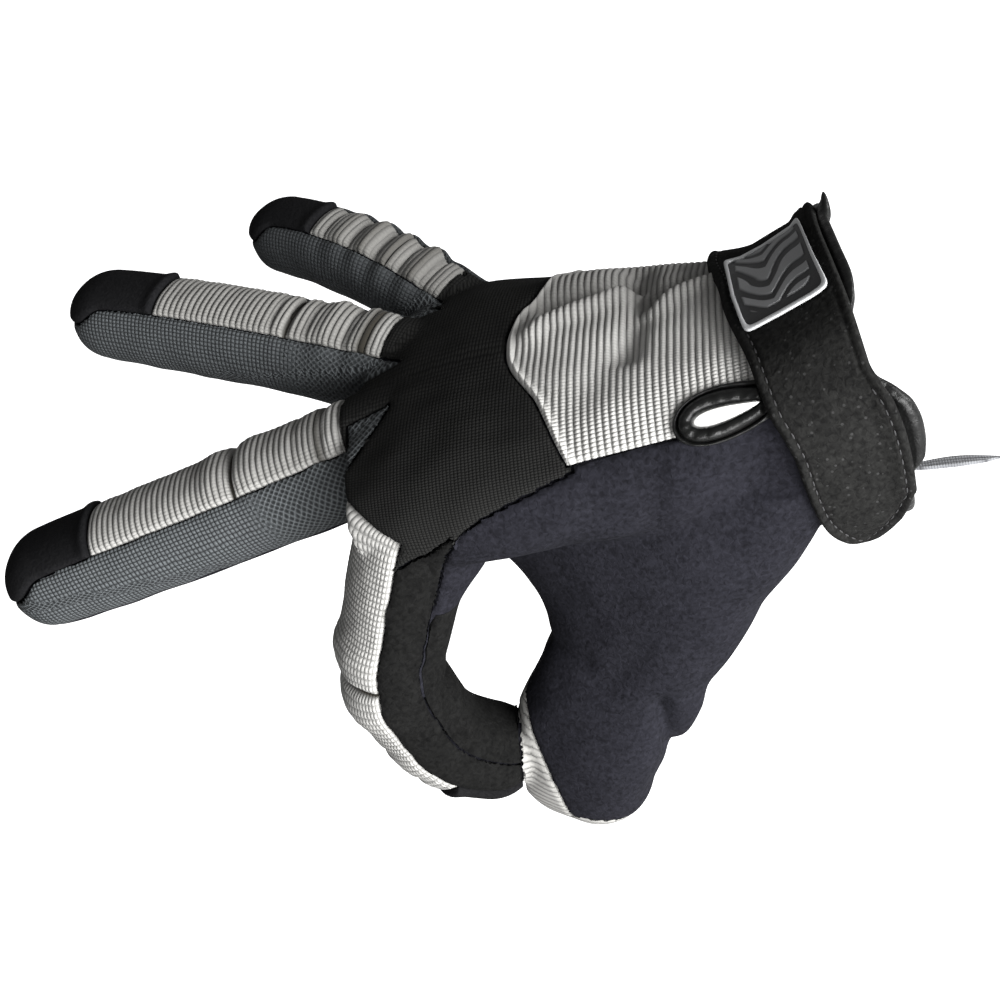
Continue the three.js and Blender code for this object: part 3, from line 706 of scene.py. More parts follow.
# A fine basket weave that opens into a slanting mesh where Open is 1.
def makeBasketWeave():
    group, given = newGroup("basketWeave", {"Sheet": None, "Pitch": 1.1, "Open": 0.0},
                            ["Thread", "Height", "Fleck"])
    across, along = sheetLengths(group, given["Sheet"])
    across = plus(group, across, wobbled(group, given["Sheet"], 50.0, 0.5))
    pitch = given["Pitch"]
    closed = times(group, threads(group, across, pitch, 0.5), threads(group, along, pitch, 0.5))
    slantPitch = times(group, pitch, 1.5)
    one = threads(group, plus(group, across, along), slantPitch, 0.8)
    two = threads(group, less(group, across, along), slantPitch, 0.8)
    opened = less(group, 1.0, times(group, one, two))
    thread = plus(group, closed, times(group, less(group, opened, closed), given["Open"]))
    fleck = noiseOf(group, given["Sheet"], 220.0, 3.0)
    return closeGroup(group, {"Thread": thread, "Height": thread, "Fleck": fleck})


# Brushed nap: broad cloudy patches, short fibres and specks.
def makeNapGrain():
    group, given = newGroup("napGrain", {"Place": None, "Patch": 70.0, "Fibre": 900.0},
                            ["Cloud", "Fibres", "Specks", "Height"])
    cloud = noiseOf(group, given["Place"], given["Patch"], 4.0)
    fibre = noiseOf(group, given["Place"], given["Fibre"], 3.0, 0.6)
    speck = put(group, "ShaderNodeTexVoronoi", {"Vector": given["Place"], "Scale": 520.0})
    dots = maths(group, "LESS_THAN", speck.outputs["Distance"], 0.16)
    return closeGroup(group, {"Cloud": cloud, "Fibres": fibre, "Specks": dots, "Height": fibre})


ribWeave, basketWeave, napGrain = makeRibWeave(), makeBasketWeave(), makeNapGrain()


def newMaterial(name, roughness, sheen=0.0, specular=0.3):
    material = bpy.data.materials.new(name)
    material.use_nodes = True
    tree = material.node_tree
    tree.nodes.clear()
    output = tree.nodes.new("ShaderNodeOutputMaterial")
    shader = put(tree, "ShaderNodeBsdfPrincipled", {"Roughness": roughness, "Sheen Weight": sheen,
                                                    "Specular IOR Level": specular})
    tree.links.new(shader.outputs[0], output.inputs[0])
    return material, tree, shader


# Gives a material its colour and its relief, which stands `deep` mm high.
def dress(shader, tree, colour, height, deep):
    tree.links.new(colour, shader.inputs["Base Color"])
    bump = put(tree, "ShaderNodeBump", {"Height": height, "Strength": 1.0, "Distance": deep * 0.001})
    tree.links.new(bump.outputs[0], shader.inputs["Normal"])


def useGroup(tree, group, inputs):
    return put(tree, "ShaderNodeGroup", inputs, node_tree=group).outputs


def sheetOf(tree):
    return put(tree, "ShaderNodeUVMap", uv_map="sheet").outputs[0]


def placeOf(tree):
    return put(tree, "ShaderNodeTexCoord").outputs["Object"]


def shareOf(tree, name):
    return put(tree, "ShaderNodeAttribute", attribute_name=name).outputs["Fac"]


# The knit's shade colour is painted shade: the brownish dark it is blended towards where less light falls.
knitLook = {"light": (0.42, 0.415, 0.40), "dark": (0.10, 0.10, 0.098), "paintedShade": (0.02, 0.018, 0.014),
            "pitch": 1.5, "stitch": 0.95, "even": 0.5, "power": 1.15}
gussetLook = {"light": (0.08, 0.087, 0.091), "dark": (0.011, 0.012, 0.013), "pitch": 1.05, "even": 0.2}
capLook = {"base": (0.003, 0.003, 0.0035), "worn": (0.008, 0.008, 0.0085)}
suedeLook = {"base": (0.003, 0.003, 0.004), "brushed": (0.0125, 0.0125, 0.0165)}
knuckleLook = {"light": (0.012, 0.012, 0.0115), "dark": (0.002, 0.002, 0.002), "pitch": 0.8}
sideLook = {"base": (0.0015, 0.0015, 0.0015), "brushed": (0.007, 0.007, 0.0068)}
strapLook = {"base": (0.0025, 0.0025, 0.0025), "brushed": (0.0125, 0.0125, 0.012),
             "speck": (0.035, 0.035, 0.035)}
tapeLook = {"base": (0.003, 0.003, 0.003), "worn": (0.009, 0.0095, 0.009)}
badgeLook = {"plate": (0.016, 0.016, 0.017), "motif": (0.17, 0.172, 0.176), "edge": (0.36, 0.365, 0.37)}
tabLook = {"light": (0.125, 0.128, 0.135), "dark": (0.022, 0.022, 0.025)}
stitchColour = (0.013, 0.013, 0.0135)
liningLook = {"base": (0.62, 0.62, 0.61), "brushed": (0.75, 0.75, 0.74)}


# Where the cloth is plain, the threads fade into one even tone.
def evened(tree, share, even):
    return plus(tree, share, times(tree, less(tree, even, share), shareOf(tree, "plain")))


# A thread is lighter or darker by its fleck.
def flecked(tree, weave, least, amount):
    return times(tree, weave["Thread"], plus(tree, least, times(tree, weave["Fleck"], amount)))


def makeKnit():
    material, tree, shader = newMaterial("ribbedKnit", 0.9, sheen=0.05, specular=0.15)
    weave = useGroup(tree, ribWeave, {"Sheet": sheetOf(tree), "Pitch": knitLook["pitch"],
                                      "Stitch": knitLook["stitch"], "Cross": shareOf(tree, "squares")})
    thread = flecked(tree, weave, 0.72, 0.5)
    worn = times(tree, shareOf(tree, "edge"), 0.5)
    share = maths(tree, "MINIMUM", plus(tree, maths(tree, "POWER", thread, knitLook["power"]), worn), 1.0)
    share = evened(tree, share, knitLook["even"])
    colour = blendColour(tree, share, knitLook["dark"], knitLook["light"])
    # Painted shade: the knit's colour is blended towards the shade colour as far as the shade attribute says.
    colour = blendColour(tree, shareOf(tree, "paintedShade"), colour, knitLook["paintedShade"])
    dress(shader, tree, colour, weave["Height"], 0.25)
    return material


def makeGusset():
    material, tree, shader = newMaterial("gussetMesh", 0.85, specular=0.15)
    weave = useGroup(tree, basketWeave, {"Sheet": sheetOf(tree), "Pitch": gussetLook["pitch"],
                                         "Open": shareOf(tree, "open")})
    share = maths(tree, "MINIMUM", maths(tree, "POWER", flecked(tree, weave, 0.45, 1.1), 1.6), 1.0)
    share = evened(tree, share, gussetLook["even"])
    colour = blendColour(tree, share, gussetLook["dark"], gussetLook["light"])
    dress(shader, tree, colour, weave["Height"], 0.3)
    return material


def makeSuede(name, base, brushed, specks=None, patch=70.0, fibre=900.0):
    material, tree, shader = newMaterial(name, 0.95, specular=0.05)
    nap = useGroup(tree, napGrain, {"Place": placeOf(tree), "Patch": patch, "Fibre": fibre})
    cloud = times(tree, less(tree, nap["Cloud"], 0.5), 0.6)
    grain = times(tree, less(tree, nap["Fibres"], 0.5), 1.6)
    share = plus(tree, plus(tree, cloud, grain), 0.45)
    share = maths(tree, "MINIMUM", maths(tree, "MAXIMUM", share, 0.0), 1.0)
    colour = blendColour(tree, share, base, brushed)
    if specks:
        strength = times(tree, nap["Specks"], times(tree, nap["Cloud"], 0.8))
        colour = blendColour(tree, strength, colour, specks)
    dress(shader, tree, colour, nap["Height"], 0.25)
    return material


def makeKnuckleKnit():
    material, tree, shader = newMaterial("knuckleKnit", 0.95, specular=0.06)
    weave = useGroup(tree, basketWeave, {"Sheet": sheetOf(tree), "Pitch": knuckleLook["pitch"], "Open": 0.0})
    share = maths(tree, "MINIMUM", flecked(tree, weave, 0.5, 1.0), 1.0)
    colour = blendColour(tree, share, knuckleLook["dark"], knuckleLook["light"])
    dress(shader, tree, colour, weave["Height"], 0.15)
    return material


def makeTape():
    material, tree, shader = newMaterial("bindingTape", 0.38, specular=0.16)
    nap = useGroup(tree, napGrain, {"Place": placeOf(tree), "Patch": 300.0, "Fibre": 1400.0})
    colour = blendColour(tree, maths(tree, "POWER", nap["Cloud"], 3.0), tapeLook["base"], tapeLook["worn"])
    tree.links.new(plus(tree, 0.2, times(tree, nap["Fibres"], 0.24)), shader.inputs["Roughness"])
    dress(shader, tree, colour, nap["Height"], 0.12)
    return material


def makeRubber(name, base, raised=None, roughness=0.5):
    material, tree, shader = newMaterial(name, roughness, specular=0.4)
    nap = useGroup(tree, napGrain, {"Place": placeOf(tree), "Patch": 200.0, "Fibre": 1600.0})
    colour = blendColour(tree, times(tree, nap["Cloud"], 0.35), base, tuple(c * 1.5 for c in base))
    if raised:
        colour = blendColour(tree, shareOf(tree, "motif"), colour, raised)
    dress(shader, tree, colour, nap["Height"], 0.05)
    return material


def makeWebbing():
    material, tree, shader = newMaterial("tabWebbing", 0.8, sheen=0.1)
    across, along = sheetLengths(tree, sheetOf(tree))
    stripes, picks = threads(tree, along, 0.9, 0.7), threads(tree, across, 0.55, 0.8)
    share = times(tree, stripes, plus(tree, 0.6, times(tree, picks, 0.4)))
    colour = blendColour(tree, share, tabLook["dark"], tabLook["light"])
    dress(shader, tree, colour, share, 0.15)
    return material


ribbedKnit = makeKnit()
gussetMesh = makeGusset()
capSuede = makeSuede("capSuede", capLook["base"], capLook["worn"], fibre=1400.0)
palmSuede = makeSuede("palmSuede", suedeLook["base"], suedeLook["brushed"], patch=60.0)
knuckleKnit = makeKnuckleKnit()
sideCloth = makeSuede("sideCloth", sideLook["base"], sideLook["brushed"], patch=150.0)
strapFelt = makeSuede("strapFelt", strapLook["base"], strapLook["brushed"], strapLook["speck"], patch=240.0)
bindingTape = makeTape()
badgeRubber = makeRubber("badgeRubber", badgeLook["plate"], badgeLook["motif"])
badgeEdge = makeRubber("badgeEdge", badgeLook["edge"], roughness=0.45)
tabWebbing = makeWebbing()
stitchThread = makeRubber("stitchThread", stitchColour, roughness=0.8)
paleLining = makeSuede("paleLining", liningLook["base"], liningLook["brushed"], patch=150.0)
print("glove: materials made")


def handOver(piece, slot, *nodes, angle=50):
    activate(piece)
    bpy.ops.object.shade_smooth_by_angle(angle=math.radians(angle))
    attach(piece, "root")
    if nodes:
        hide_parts(*nodes)


def finishPiece(piece, material, slot, *nodes, angle=50):
    useMaterials(piece, 0, material)
    handOver(piece, slot, *nodes, angle=angle)


# Ribbed strips along the fingers
strip = {"ribDeep": 0.42, "ribPitch": 1.5, "rowSpacing": 0.25, "columnSpacing": 0.55, "edgeDrop": 0.9,
         "edgeReach": 1.6, "inner": -1.4, "ribFade": 0.8, "waves": 0.12, "waveSize": 7, "rootLong": 13,
         "rootFade": 4, "sideFade": 14, "nearSide": 58, "farSide": {"forefinger": 28}, "wornEdge": 1.2,
         "squares": {"forefinger": 0.85, "middle": 0.25, "ring": 0.3, "little": 0.3},
         # Each strip's tone is painted shading: lower is darker, for the fingers farther from the light.
         "paintedShading": {"forefinger": 0.78, "middle": 0.6, "ring": 0.42, "little": 0.42},
         "plain": {"forefinger": 0.4, "middle": 0.25, "ring": 0.3, "little": 0.75},
         # Bands of (along, reach, amount): painted shade in the pleats and folds where the amount is
         # negative, painted highlight on curled cloth where it is positive.
         "bands": {"forefinger": [(65.5, 0.45, -1.3)],
                   "middle": [(66, 0.4, -1.1), (43, 1.0, -0.5), (40, 1.2, 0.2)],
                   "ring": [(64, 0.4, -0.5), (44, 1.3, -0.65), (41, 1.6, 0.2)],
                   "little": [(50.5, 1.2, -0.25), (57.5, 1.2, -0.25), (64, 1.2, -0.25), (71, 1.2, -0.2)]}}


def ribLift(distance, pitch, deep):
    return deep * (np.abs(np.sin(math.pi * distance / pitch)) ** 0.55 - 1)


def edgeFall(distance, reach, drop):
    return -drop * np.clip(1 - distance / reach, 0, 1) ** 2


# Near its root a strip rides up on the swell of the knuckle. This fades along it and towards its sides.
def rootSwell(name, at, turn):
    stop, fade = fingers[name]["stripFrom"] + strip["rootLong"], strip["sideFade"]
    root = at < stop
    above = np.zeros(len(at))
    above[root] = standsAbove(tubes[name], at[root], turn[root])
    farSide = strip["farSide"].get(name, strip["nearSide"])
    above = above * np.clip((stop - at) / strip["rootFade"], 0, 1)
    return above * np.clip((strip["nearSide"] - turn) / fade, 0, 1) * np.clip((turn + farSide) / fade, 0, 1)


def makeStrip(name, node, low, high):
    finger, tube, inner = fingers[name], tubes[name], strip["inner"]
    seam, long = finger["seam"], high - low
    width = 2 * math.radians(seam) * finger["half"]
    deep = strip["ribDeep"] * (1 - 0.7 * strip["plain"][name])

    def place(u, v, w):
        at = low + glove["seamGap"] / 2 + (long - glove["seamGap"]) * v
        turn = -seam + 2 * seam * u
        edge = np.minimum(np.minimum(u, 1 - u) * width, np.minimum(v, 1 - v) * long)
        relief = ribLift(at, strip["ribPitch"], deep) * np.clip(edge / strip["ribFade"], 0.2, 1)
        relief = edgeFall(edge, strip["edgeReach"], strip["edgeDrop"]) + relief
        flat = skin(tube, at, turn, np.where(w > 0.5, 0.0, inner))
        above = rootSwell(name, at, turn)
        lift = above + relief + strip["waves"] * waviness(flat, strip["waveSize"], 5)
        points = skin(tube, at, turn, np.where(w > 0.5, lift, above + inner))
        return points, np.stack([(u - 0.5) * width, at], axis=1)

    piece = slab(node, int(width / strip["columnSpacing"]), int(long / strip["rowSpacing"]), place)
    sheet = readSheet(piece)
    sideShare = np.abs(sheet[:, 0]) / (width / 2)
    writeShare(piece, "squares", strip["squares"][name] + 0.5 * np.clip(sideShare * 1.6 - 0.9, 0, 1))
    worn = strip["wornEdge"]
    writeShare(piece, "edge", np.clip(worn - (1 - sideShare) * width / 2 / worn, 0, 1))
    # Painted shading: the strip's tone with its bands of painted shade and painted highlight becomes its
    # shade attribute.
    paintedShading = np.full(len(sheet), strip["paintedShading"][name])
    for at, reach, amount in strip["bands"][name]:
        paintedShading += amount * np.exp(-((sheet[:, 1] - at) / reach) ** 2)
    writeShare(piece, "paintedShade", 1 - paintedShading)
    writeEven(piece, "plain", strip["plain"][name])
    turnOutwards(piece)
    finishPiece(piece, ribbedKnit, "ribbed_knit", node)


for name, finger in fingers.items():
    makeStrip(name, f"{name}_back_lower", finger["stripFrom"], finger["pleat"])
    makeStrip(name, f"{name}_back_upper", finger["pleat"], finger["capFrom"])
print("glove: finger strips made")

# Smooth caps over the fingertips
cap = {"columns": 46, "spacing": 0.6, "crowding": 1.4, "shrink": -0.1, "inner": -1.3, "lift": 0.35,
       "lip": 0.6, "lipAt": 0.8, "lipReach": 1.6, "edgeDrop": 0.7, "edgeReach": 1.4, "frontDrop": 0.5,
       "frontReach": 0.6}


def capRows(name):
    finger, end = fingers[name], tubes[name]["length"]
    return [(finger["capFrom"], -finger["seam"], finger["seam"]),
            (end - 12, -finger["seam"] - 3, finger["seam"] + 3), (end - 4, -75, 75), (end + 1, -84, 84)]


def makeCap(name):
    tube, rows, node = tubes[name], capRows(name), f"{name}_cap"
    long, half = rows[-1][0] - rows[0][0], fingers[name]["half"]

    def place(u, v, w):
        at, turn = patchSpread(tube, "at", rows, u, v, cap["shrink"])
        sideGap = np.minimum(u, 1 - u) * np.radians(2 * np.abs(rows[0][2])) * half
        lift = cap["lift"] + edgeFall(sideGap, cap["edgeReach"], cap["edgeDrop"])
        lift = lift + cap["lip"] * np.exp(-((v * long - cap["lipAt"]) / cap["lipReach"]) ** 2)
        lift = lift + edgeFall(v * long, cap["frontReach"], cap["frontDrop"])
        points = skin(tube, at, turn, np.where(w > 0.5, lift, cap["inner"]))
        return points, np.stack([(u - 0.5) * 2 * half, at], axis=1)

    piece = slab(node, cap["columns"], int(long / cap["spacing"] * cap["crowding"]), place)
    turnOutwards(piece)
    if name == "forefinger":
        onFingerSide(piece)
    finishPiece(piece, capSuede, "black_suede", node)


for name in fingers:
    makeCap(name)
print("glove: fingertip caps made")

# Panels cut out of the skin: how they dip at their seams and how their sheet maps run.
panel = {"edgeDrop": 0.55, "edgeReach": 1.5, "crumbs": 0.02, "plain": {"ring": 0.3, "little": 0.85},
         "calmReach": 3, "openUntil": 66, "openFade": 8, "thumbSeam": -150, "handRadius": 30}


# Takes out what a cut leaves loose beside a panel.
def dropCrumbs(piece):
    mesh = bmesh.new()
    mesh.from_mesh(piece.data)
    mesh.verts.ensure_lookup_table()
    seen = np.zeros(len(mesh.verts), bool)
    islands = []
    for start in mesh.verts:
        if seen[start.index]:
            continue
        seen[start.index] = True
        island = [start]
        for vertex in island:  # the island grows while it is walked
            for edge in vertex.link_edges:
                other = edge.other_vert(vertex)
                if not seen[other.index]:
                    seen[other.index] = True
                    island.append(other)
        islands.append(island)
    least = panel["crumbs"] * len(mesh.verts)
    small = [vertex for island in islands if len(island) < least for vertex in island]
    bmesh.ops.delete(mesh, geom=small, context="VERTS")
    mesh.to_mesh(piece.data)
    mesh.free()
    piece.data.update()


# The suede runs on from the palm into the fingers, so its seam there stays flat.
creaseRings = [point for name in fingers
               for point in skin(tubes[name], glove["crease"] + 0.15, np.arange(0, 360, 6))]


def distancesTo(marks, points):
    if not len(marks):
        return np.full(len(points), 99.0)
    tree = KDTree(len(marks))
    for k, mark in enumerate(marks):
        tree.insert(mark, k)
    tree.balance()
    return np.array([tree.find(point)[2] for point in points])


# The outer face dips beside each seam, as sewn cloth does.
def sinkSeams(piece, drop):
    polygons, corners = piece.data.polygons, readCorners(piece)
    index = readArray(polygons, "material_index", kind=np.int32)
    ofLoop = np.repeat(index, readArray(polygons, "loop_total", kind=np.int32))
    cut, cloth = np.zeros(len(piece.data.vertices), bool), np.zeros(len(piece.data.vertices), bool)
    cut[corners[ofLoop == 1]] = True
    cloth[corners[ofLoop == 0]] = True
    points, normals = readPoints(piece) * 1000, readNormals(piece)
    nearest, calm = distancesTo(points[cut & cloth], points), distancesTo(creaseRings, points)
    fall = edgeFall(nearest, panel["edgeReach"], drop)
    fall = fall * np.clip(calm / panel["calmReach"] - 0.2, 0.05, 1)
    writePoints(piece, (points + normals * fall[:, None]) * 0.001)
    writeShare(piece, "edge", 1 - nearest / panel["edgeReach"])


# Where a point lies on a tube: how far along, at what turn, and how far off the tube's skin.
onto = {"every": 4, "block": 4000, "reach": 0.5}


def ontoTube(tube, points):
    keep, block = slice(0, None, onto["every"]), onto["block"]
    centres = tube["point"][keep]
    nearest = np.zeros(len(points), int)
    for start in range(0, len(points), block):
        apart = ((points[start:start + block, None, :] - centres[None]) ** 2).sum(2)
        nearest[start:start + block] = apart.argmin(1)
    offset = points - centres[nearest]
    along, x, y = ((offset * tube[name][keep][nearest]).sum(1) for name in ("along", "side", "back"))
    at = tube["at"][keep][nearest] + along

    def reach(name):
        return np.interp(at, tube["at"], tube[name]) + onto["reach"]

    x = x / np.where(x > 0, reach("thumbReach"), reach("littleReach"))
    y = y / np.where(y > 0, reach("backReach"), reach("palmReach"))
    power = 1 / tube["power"]
    turn = np.degrees(np.arctan2(np.sign(x) * np.abs(x) ** power, np.sign(y) * np.abs(y) ** power))
    off = np.abs((np.abs(x) ** (2 * power) + np.abs(y) ** (2 * power)) ** (1 / (2 * power)) - 1)
    return at, turn, off


# The sheet map of a cut panel follows, face by face, the tube that the face lies on.
def layOnTubes(piece, names):
    polygons, corners = piece.data.polygons, readCorners(piece)
    centres = readArray(polygons, "center", 3).astype(float) * 1000
    points = readPoints(piece) * 1000
    off = np.stack([ontoTube(tubes[name], centres)[2] for name in names])
    chosen = np.repeat(off.argmin(0), readArray(polygons, "loop_total", kind=np.int32))
    sheet = np.zeros((len(corners), 2))
    opened, plain = np.zeros(len(points)), np.zeros(len(points))
    for k, name in enumerate(names):
        at, turn, _ = ontoTube(tubes[name], points)
        if name == "thumb":
            turn = np.where(turn < panel["thumbSeam"], turn + 360, turn)
        radius = fingers[name]["half"] if name in fingers else panel["handRadius"]
        flat = np.stack([np.radians(turn) * radius, at], axis=1)
        mine, smooth = chosen == k, panel["plain"].get(name, 0)
        sheet[mine] = flat[corners[mine]]
        share = np.ones(len(at))
        if name in fingers:
            share = np.clip((panel["openUntil"] - at) / panel["openFade"], 0, 1)
        opened[corners[mine]] = share[corners[mine]] * (1 - smooth)
        plain[corners[mine]] = smooth
    writeSheetCorners(piece, sheet)
    writeShare(piece, "open", opened)
    writeShare(piece, "plain", plain)


def finishPanel(piece, material, slot, node, names, drop=None):
    dropCrumbs(piece)
    sinkSeams(piece, panel["edgeDrop"] if drop is None else drop)
    layOnTubes(piece, names)
    finishPiece(piece, material, slot, *([node] if node else []))


gap = glove["seamGap"]
# The strips' and caps' places are cleared out of the skin first, and deeper at the strips' roots.
stripRoot = {"long": 12, "from": -42, "outward": 8}
for name, finger in fingers.items():
    start, seam = finger["stripFrom"], finger["seam"]
    tool = cutter(tubes[name], "at", [(start, -seam, seam), *capRows(name)], grow=gap / 2, steps=90)
    clearAway(onFingerSide(tool) if name == "forefinger" else tool)
    rows = [(at, stripRoot["from"], seam) for at in (start, start + stripRoot["long"])]
    clearAway(cutter(tubes[name], "at", rows, grow=gap / 2, outward=stripRoot["outward"]))


def padRows(name):
    end, pad = tubes[name]["length"], fingers[name]["pad"]
    low = 108 if name == "forefinger" else pad
    return [(glove["crease"] + gap, low, 360 - pad), (end - 12, low, 360 - pad),
            (end - 4, pad - 4, 364 - pad), (end + 1, pad - 4, 364 - pad)]


shallow = {"inward": 2.2, "outward": 3.0}
for name in fingers:
    tools = [cutter(tubes[name], "at", padRows(name), grow=grow, steps=60, **shallow)
             for grow in (-gap / 2, gap / 2)]
    if name == "forefinger":
        tools = [onFingerSide(tool) for tool in tools]
    pad = takeOut(f"{name}_pad", tools[:1], tools[1:])
    cloth = sideCloth if name == "forefinger" else palmSuede
    finishPanel(pad, cloth, "palm_suede", f"{name}_pad", [name], 0.3)
print("glove: finger pads made")


def sideRows(name, hand, start):
    finger, end = fingers[name], tubes[name]["length"]
    rows = [(start, finger["seam"], finger["pad"]), (end - 24, finger["seam"], finger["pad"]),
            (end - 12, finger["seam"] + 4, finger["pad"]), (end - 4, 78, finger["pad"] - 6),
            (end + 1, 84, finger["pad"] - 6)]
    return rows if hand > 0 else [(at, -high, -low) for at, low, high in rows]


gussets = [
    {"near": "forefinger", "far": "middle", "nearFrom": 26, "farFrom": 28, "dartAt": 102.4, "tip": 9,
     "opens": (12, 38)},
    {"near": "middle", "far": "ring", "nearFrom": 28, "farFrom": 30, "dartAt": 105, "tip": -27,
     "opens": (-34, -20)},
    {"near": "ring", "far": "little", "nearFrom": 30, "farFrom": 28, "dartAt": 91, "tip": -54,
     "opens": (-62, -46)},
]


def dartRows(gusset):
    low, high = gusset["opens"]
    tip, at = gusset["tip"], gusset["dartAt"]
    return [(at, tip - 1, tip + 1), (at + 5, (tip - 1 + low) / 2, (tip + 1 + high) / 2), (at + 10, low, high)]


for gusset in gussets:
    near, far = gusset["near"], gusset["far"]
    sides = [(near, -1, gusset["nearFrom"]), (far, 1, gusset["farFrom"])]
    cutters, clearers = [], []
    for name, hand, start in sides:
        rows = sideRows(name, hand, start)
        cutters.append(cutter(tubes[name], "at", rows, grow=0, steps=60, inward=2.6, outward=3.4))
        clearers.append(cutter(tubes[name], "at", rows, grow=gap, steps=60, inward=2.8, outward=3.6))
        if name == "forefinger":
            onFingerSide(cutters[-1])
            onFingerSide(clearers[-1])
    cutters.append(cutter(tubes["hand"], "at", dartRows(gusset), outward=6))
    clearers.append(cutter(tubes["hand"], "at", dartRows(gusset), grow=gap, outward=6.5))
    node = f"gusset_{near}_{far}"
    finishPanel(takeOut(node, cutters, clearers), gussetMesh, "mesh_gusset", node, [near, far, "hand"])
rows = sideRows("little", -1, 32)
finishPanel(takeOut("little_side", [cutter(tubes["little"], "at", rows, steps=60, **shallow)],
                    [cutter(tubes["little"], "at", rows, grow=gap, steps=60, **shallow)]),
            gussetMesh, "mesh_gusset", "little_side", ["little"])
print("glove: gussets made")

# The grey strip lies on the far side of the thumb and round its tip. Where the thumb presses on the
# forefinger its cloth stands further off its own tube, so a second cutter reaches deeper there.
thumbStrip = {"rows": [(44, -140, -40), (60, -145, -24), (70, -150, -4), (74, -150, 16), (77, -151, 44),
                       (82, -152, 64), (88, -158, 77), (thumbEnd - 2.4, -175, 90)],
              "pressedFrom": 3, "outward": 5.5, "pressedOutward": 11, "tipFrom": 4.3, "tipAim": 2,
              # tone is the strip's even painted shade on the far side of the thumb.
              "tipLean": (-0.14, -0.3, -0.37), "tipWide": 60, "tipDeep": 20, "paintedShading": 0.5}


def thumbTip(grow):
    place = alongTube(tubes["thumb"], "point", thumbEnd - thumbStrip["tipFrom"] - grow)
    along = alongTube(tubes["thumb"], "along", thumbEnd - thumbStrip["tipAim"])
    along = unit(along + np.array(thumbStrip["tipLean"]))
    wide = (-thumbStrip["tipWide"] / 2, thumbStrip["tipWide"] / 2)
    return blockCutter(place, (*crossAxes(along), along), (wide, wide, (0, thumbStrip["tipDeep"])))


def thumbTools(grow):
    rows = thumbStrip["rows"]
    parts = ((rows, thumbStrip["outward"]), (rows[thumbStrip["pressedFrom"]:], thumbStrip["pressedOutward"]))
    strips = [cutter(tubes["thumb"], "at", part, outward=outward, grow=grow, columns=40, steps=60)
              for part, outward in parts]
    return [*(onThumbSide(piece) for piece in strips), thumbTip(grow)]


thumbGusset = takeOut("thumb_gusset", thumbTools(0), thumbTools(gap))
finishPanel(thumbGusset, ribbedKnit, "mesh_gusset", "thumb_gusset", ["thumb"])
# Painted shade: the whole strip is darkened evenly, as it lies on the far side of the thumb.
writeEven(thumbGusset, "paintedShade", thumbStrip["paintedShading"])

# The ribbed panel on the back of the hand
back = {"rows": [(-100, 4.4, 63), (-60, 4.4, 65), (-30, 4.4, 69), (-3, 4.4, 76), (24, 4.4, 68),
                 (60, 4.4, 62)],
        "hidden": 0.26, "hiddenSteps": 0.08, "ribDeep": 0.42, "edgeDrop": 0.8, "edgeReach": 1.0,
        "piping": 0.45, "pipingAt": 1.0, "pipingReach": 1.1, "inner": -1.5, "waves": 0.2, "waveSize": 12,
        "ribsFrom": 2, "wornUntil": 2.6, "fade": 0.8, "columns": 130, "steps": 270, "plain": 0.25,
        "measuredAt": 50, "marks": 121}
# The vent slit is a drop: its hole and the outline of its rolled binding, as half lengths and half widths.
slit = {"at": 29.3, "turn": 54.3, "tilt": -1, "mmPerDegree": 0.62, "hole": (6.7, 2.5), "outer": (11.8, 9.4),
        "outerShift": -1.0, "pointed": 0.55, "rollHeight": 2.0, "pipingHeight": 1.1, "lowUnderStrap": 0.8,
        "strapAt": 21.8, "cutReach": 6.0}


def slitPlace(around, share):
    long, wide = (slit["hole"][k] + (slit["outer"][k] - slit["hole"][k]) * share for k in (0, 1))
    a = np.cos(around) * long
    b = np.sin(around) * wide * (1 + slit["pointed"] * (1 - share * 0.6) * np.cos(around))
    c, s = math.cos(math.radians(slit["tilt"])), math.sin(math.radians(slit["tilt"]))
    a = a + slit["outerShift"] * share
    return slit["at"] + a * c - b * s, slit["turn"] + (a * s + b * c) / slit["mmPerDegree"]


def slitPoint(around, share, lift):
    return skin(tubes["hand"], *slitPlace(around, share), lift)


def slitCutter(share):
    piece = addShape("cutter", bpy.ops.mesh.primitive_cylinder_add, vertices=72, radius=1, depth=2)
    points = readPoints(piece)
    around = np.arctan2(points[:, 1], points[:, 0])
    reach = slit["cutReach"]
    writePoints(piece, slitPoint(around, share, np.where(points[:, 2] > 0, reach, -reach)) * 0.001)
    return asCutter(piece)


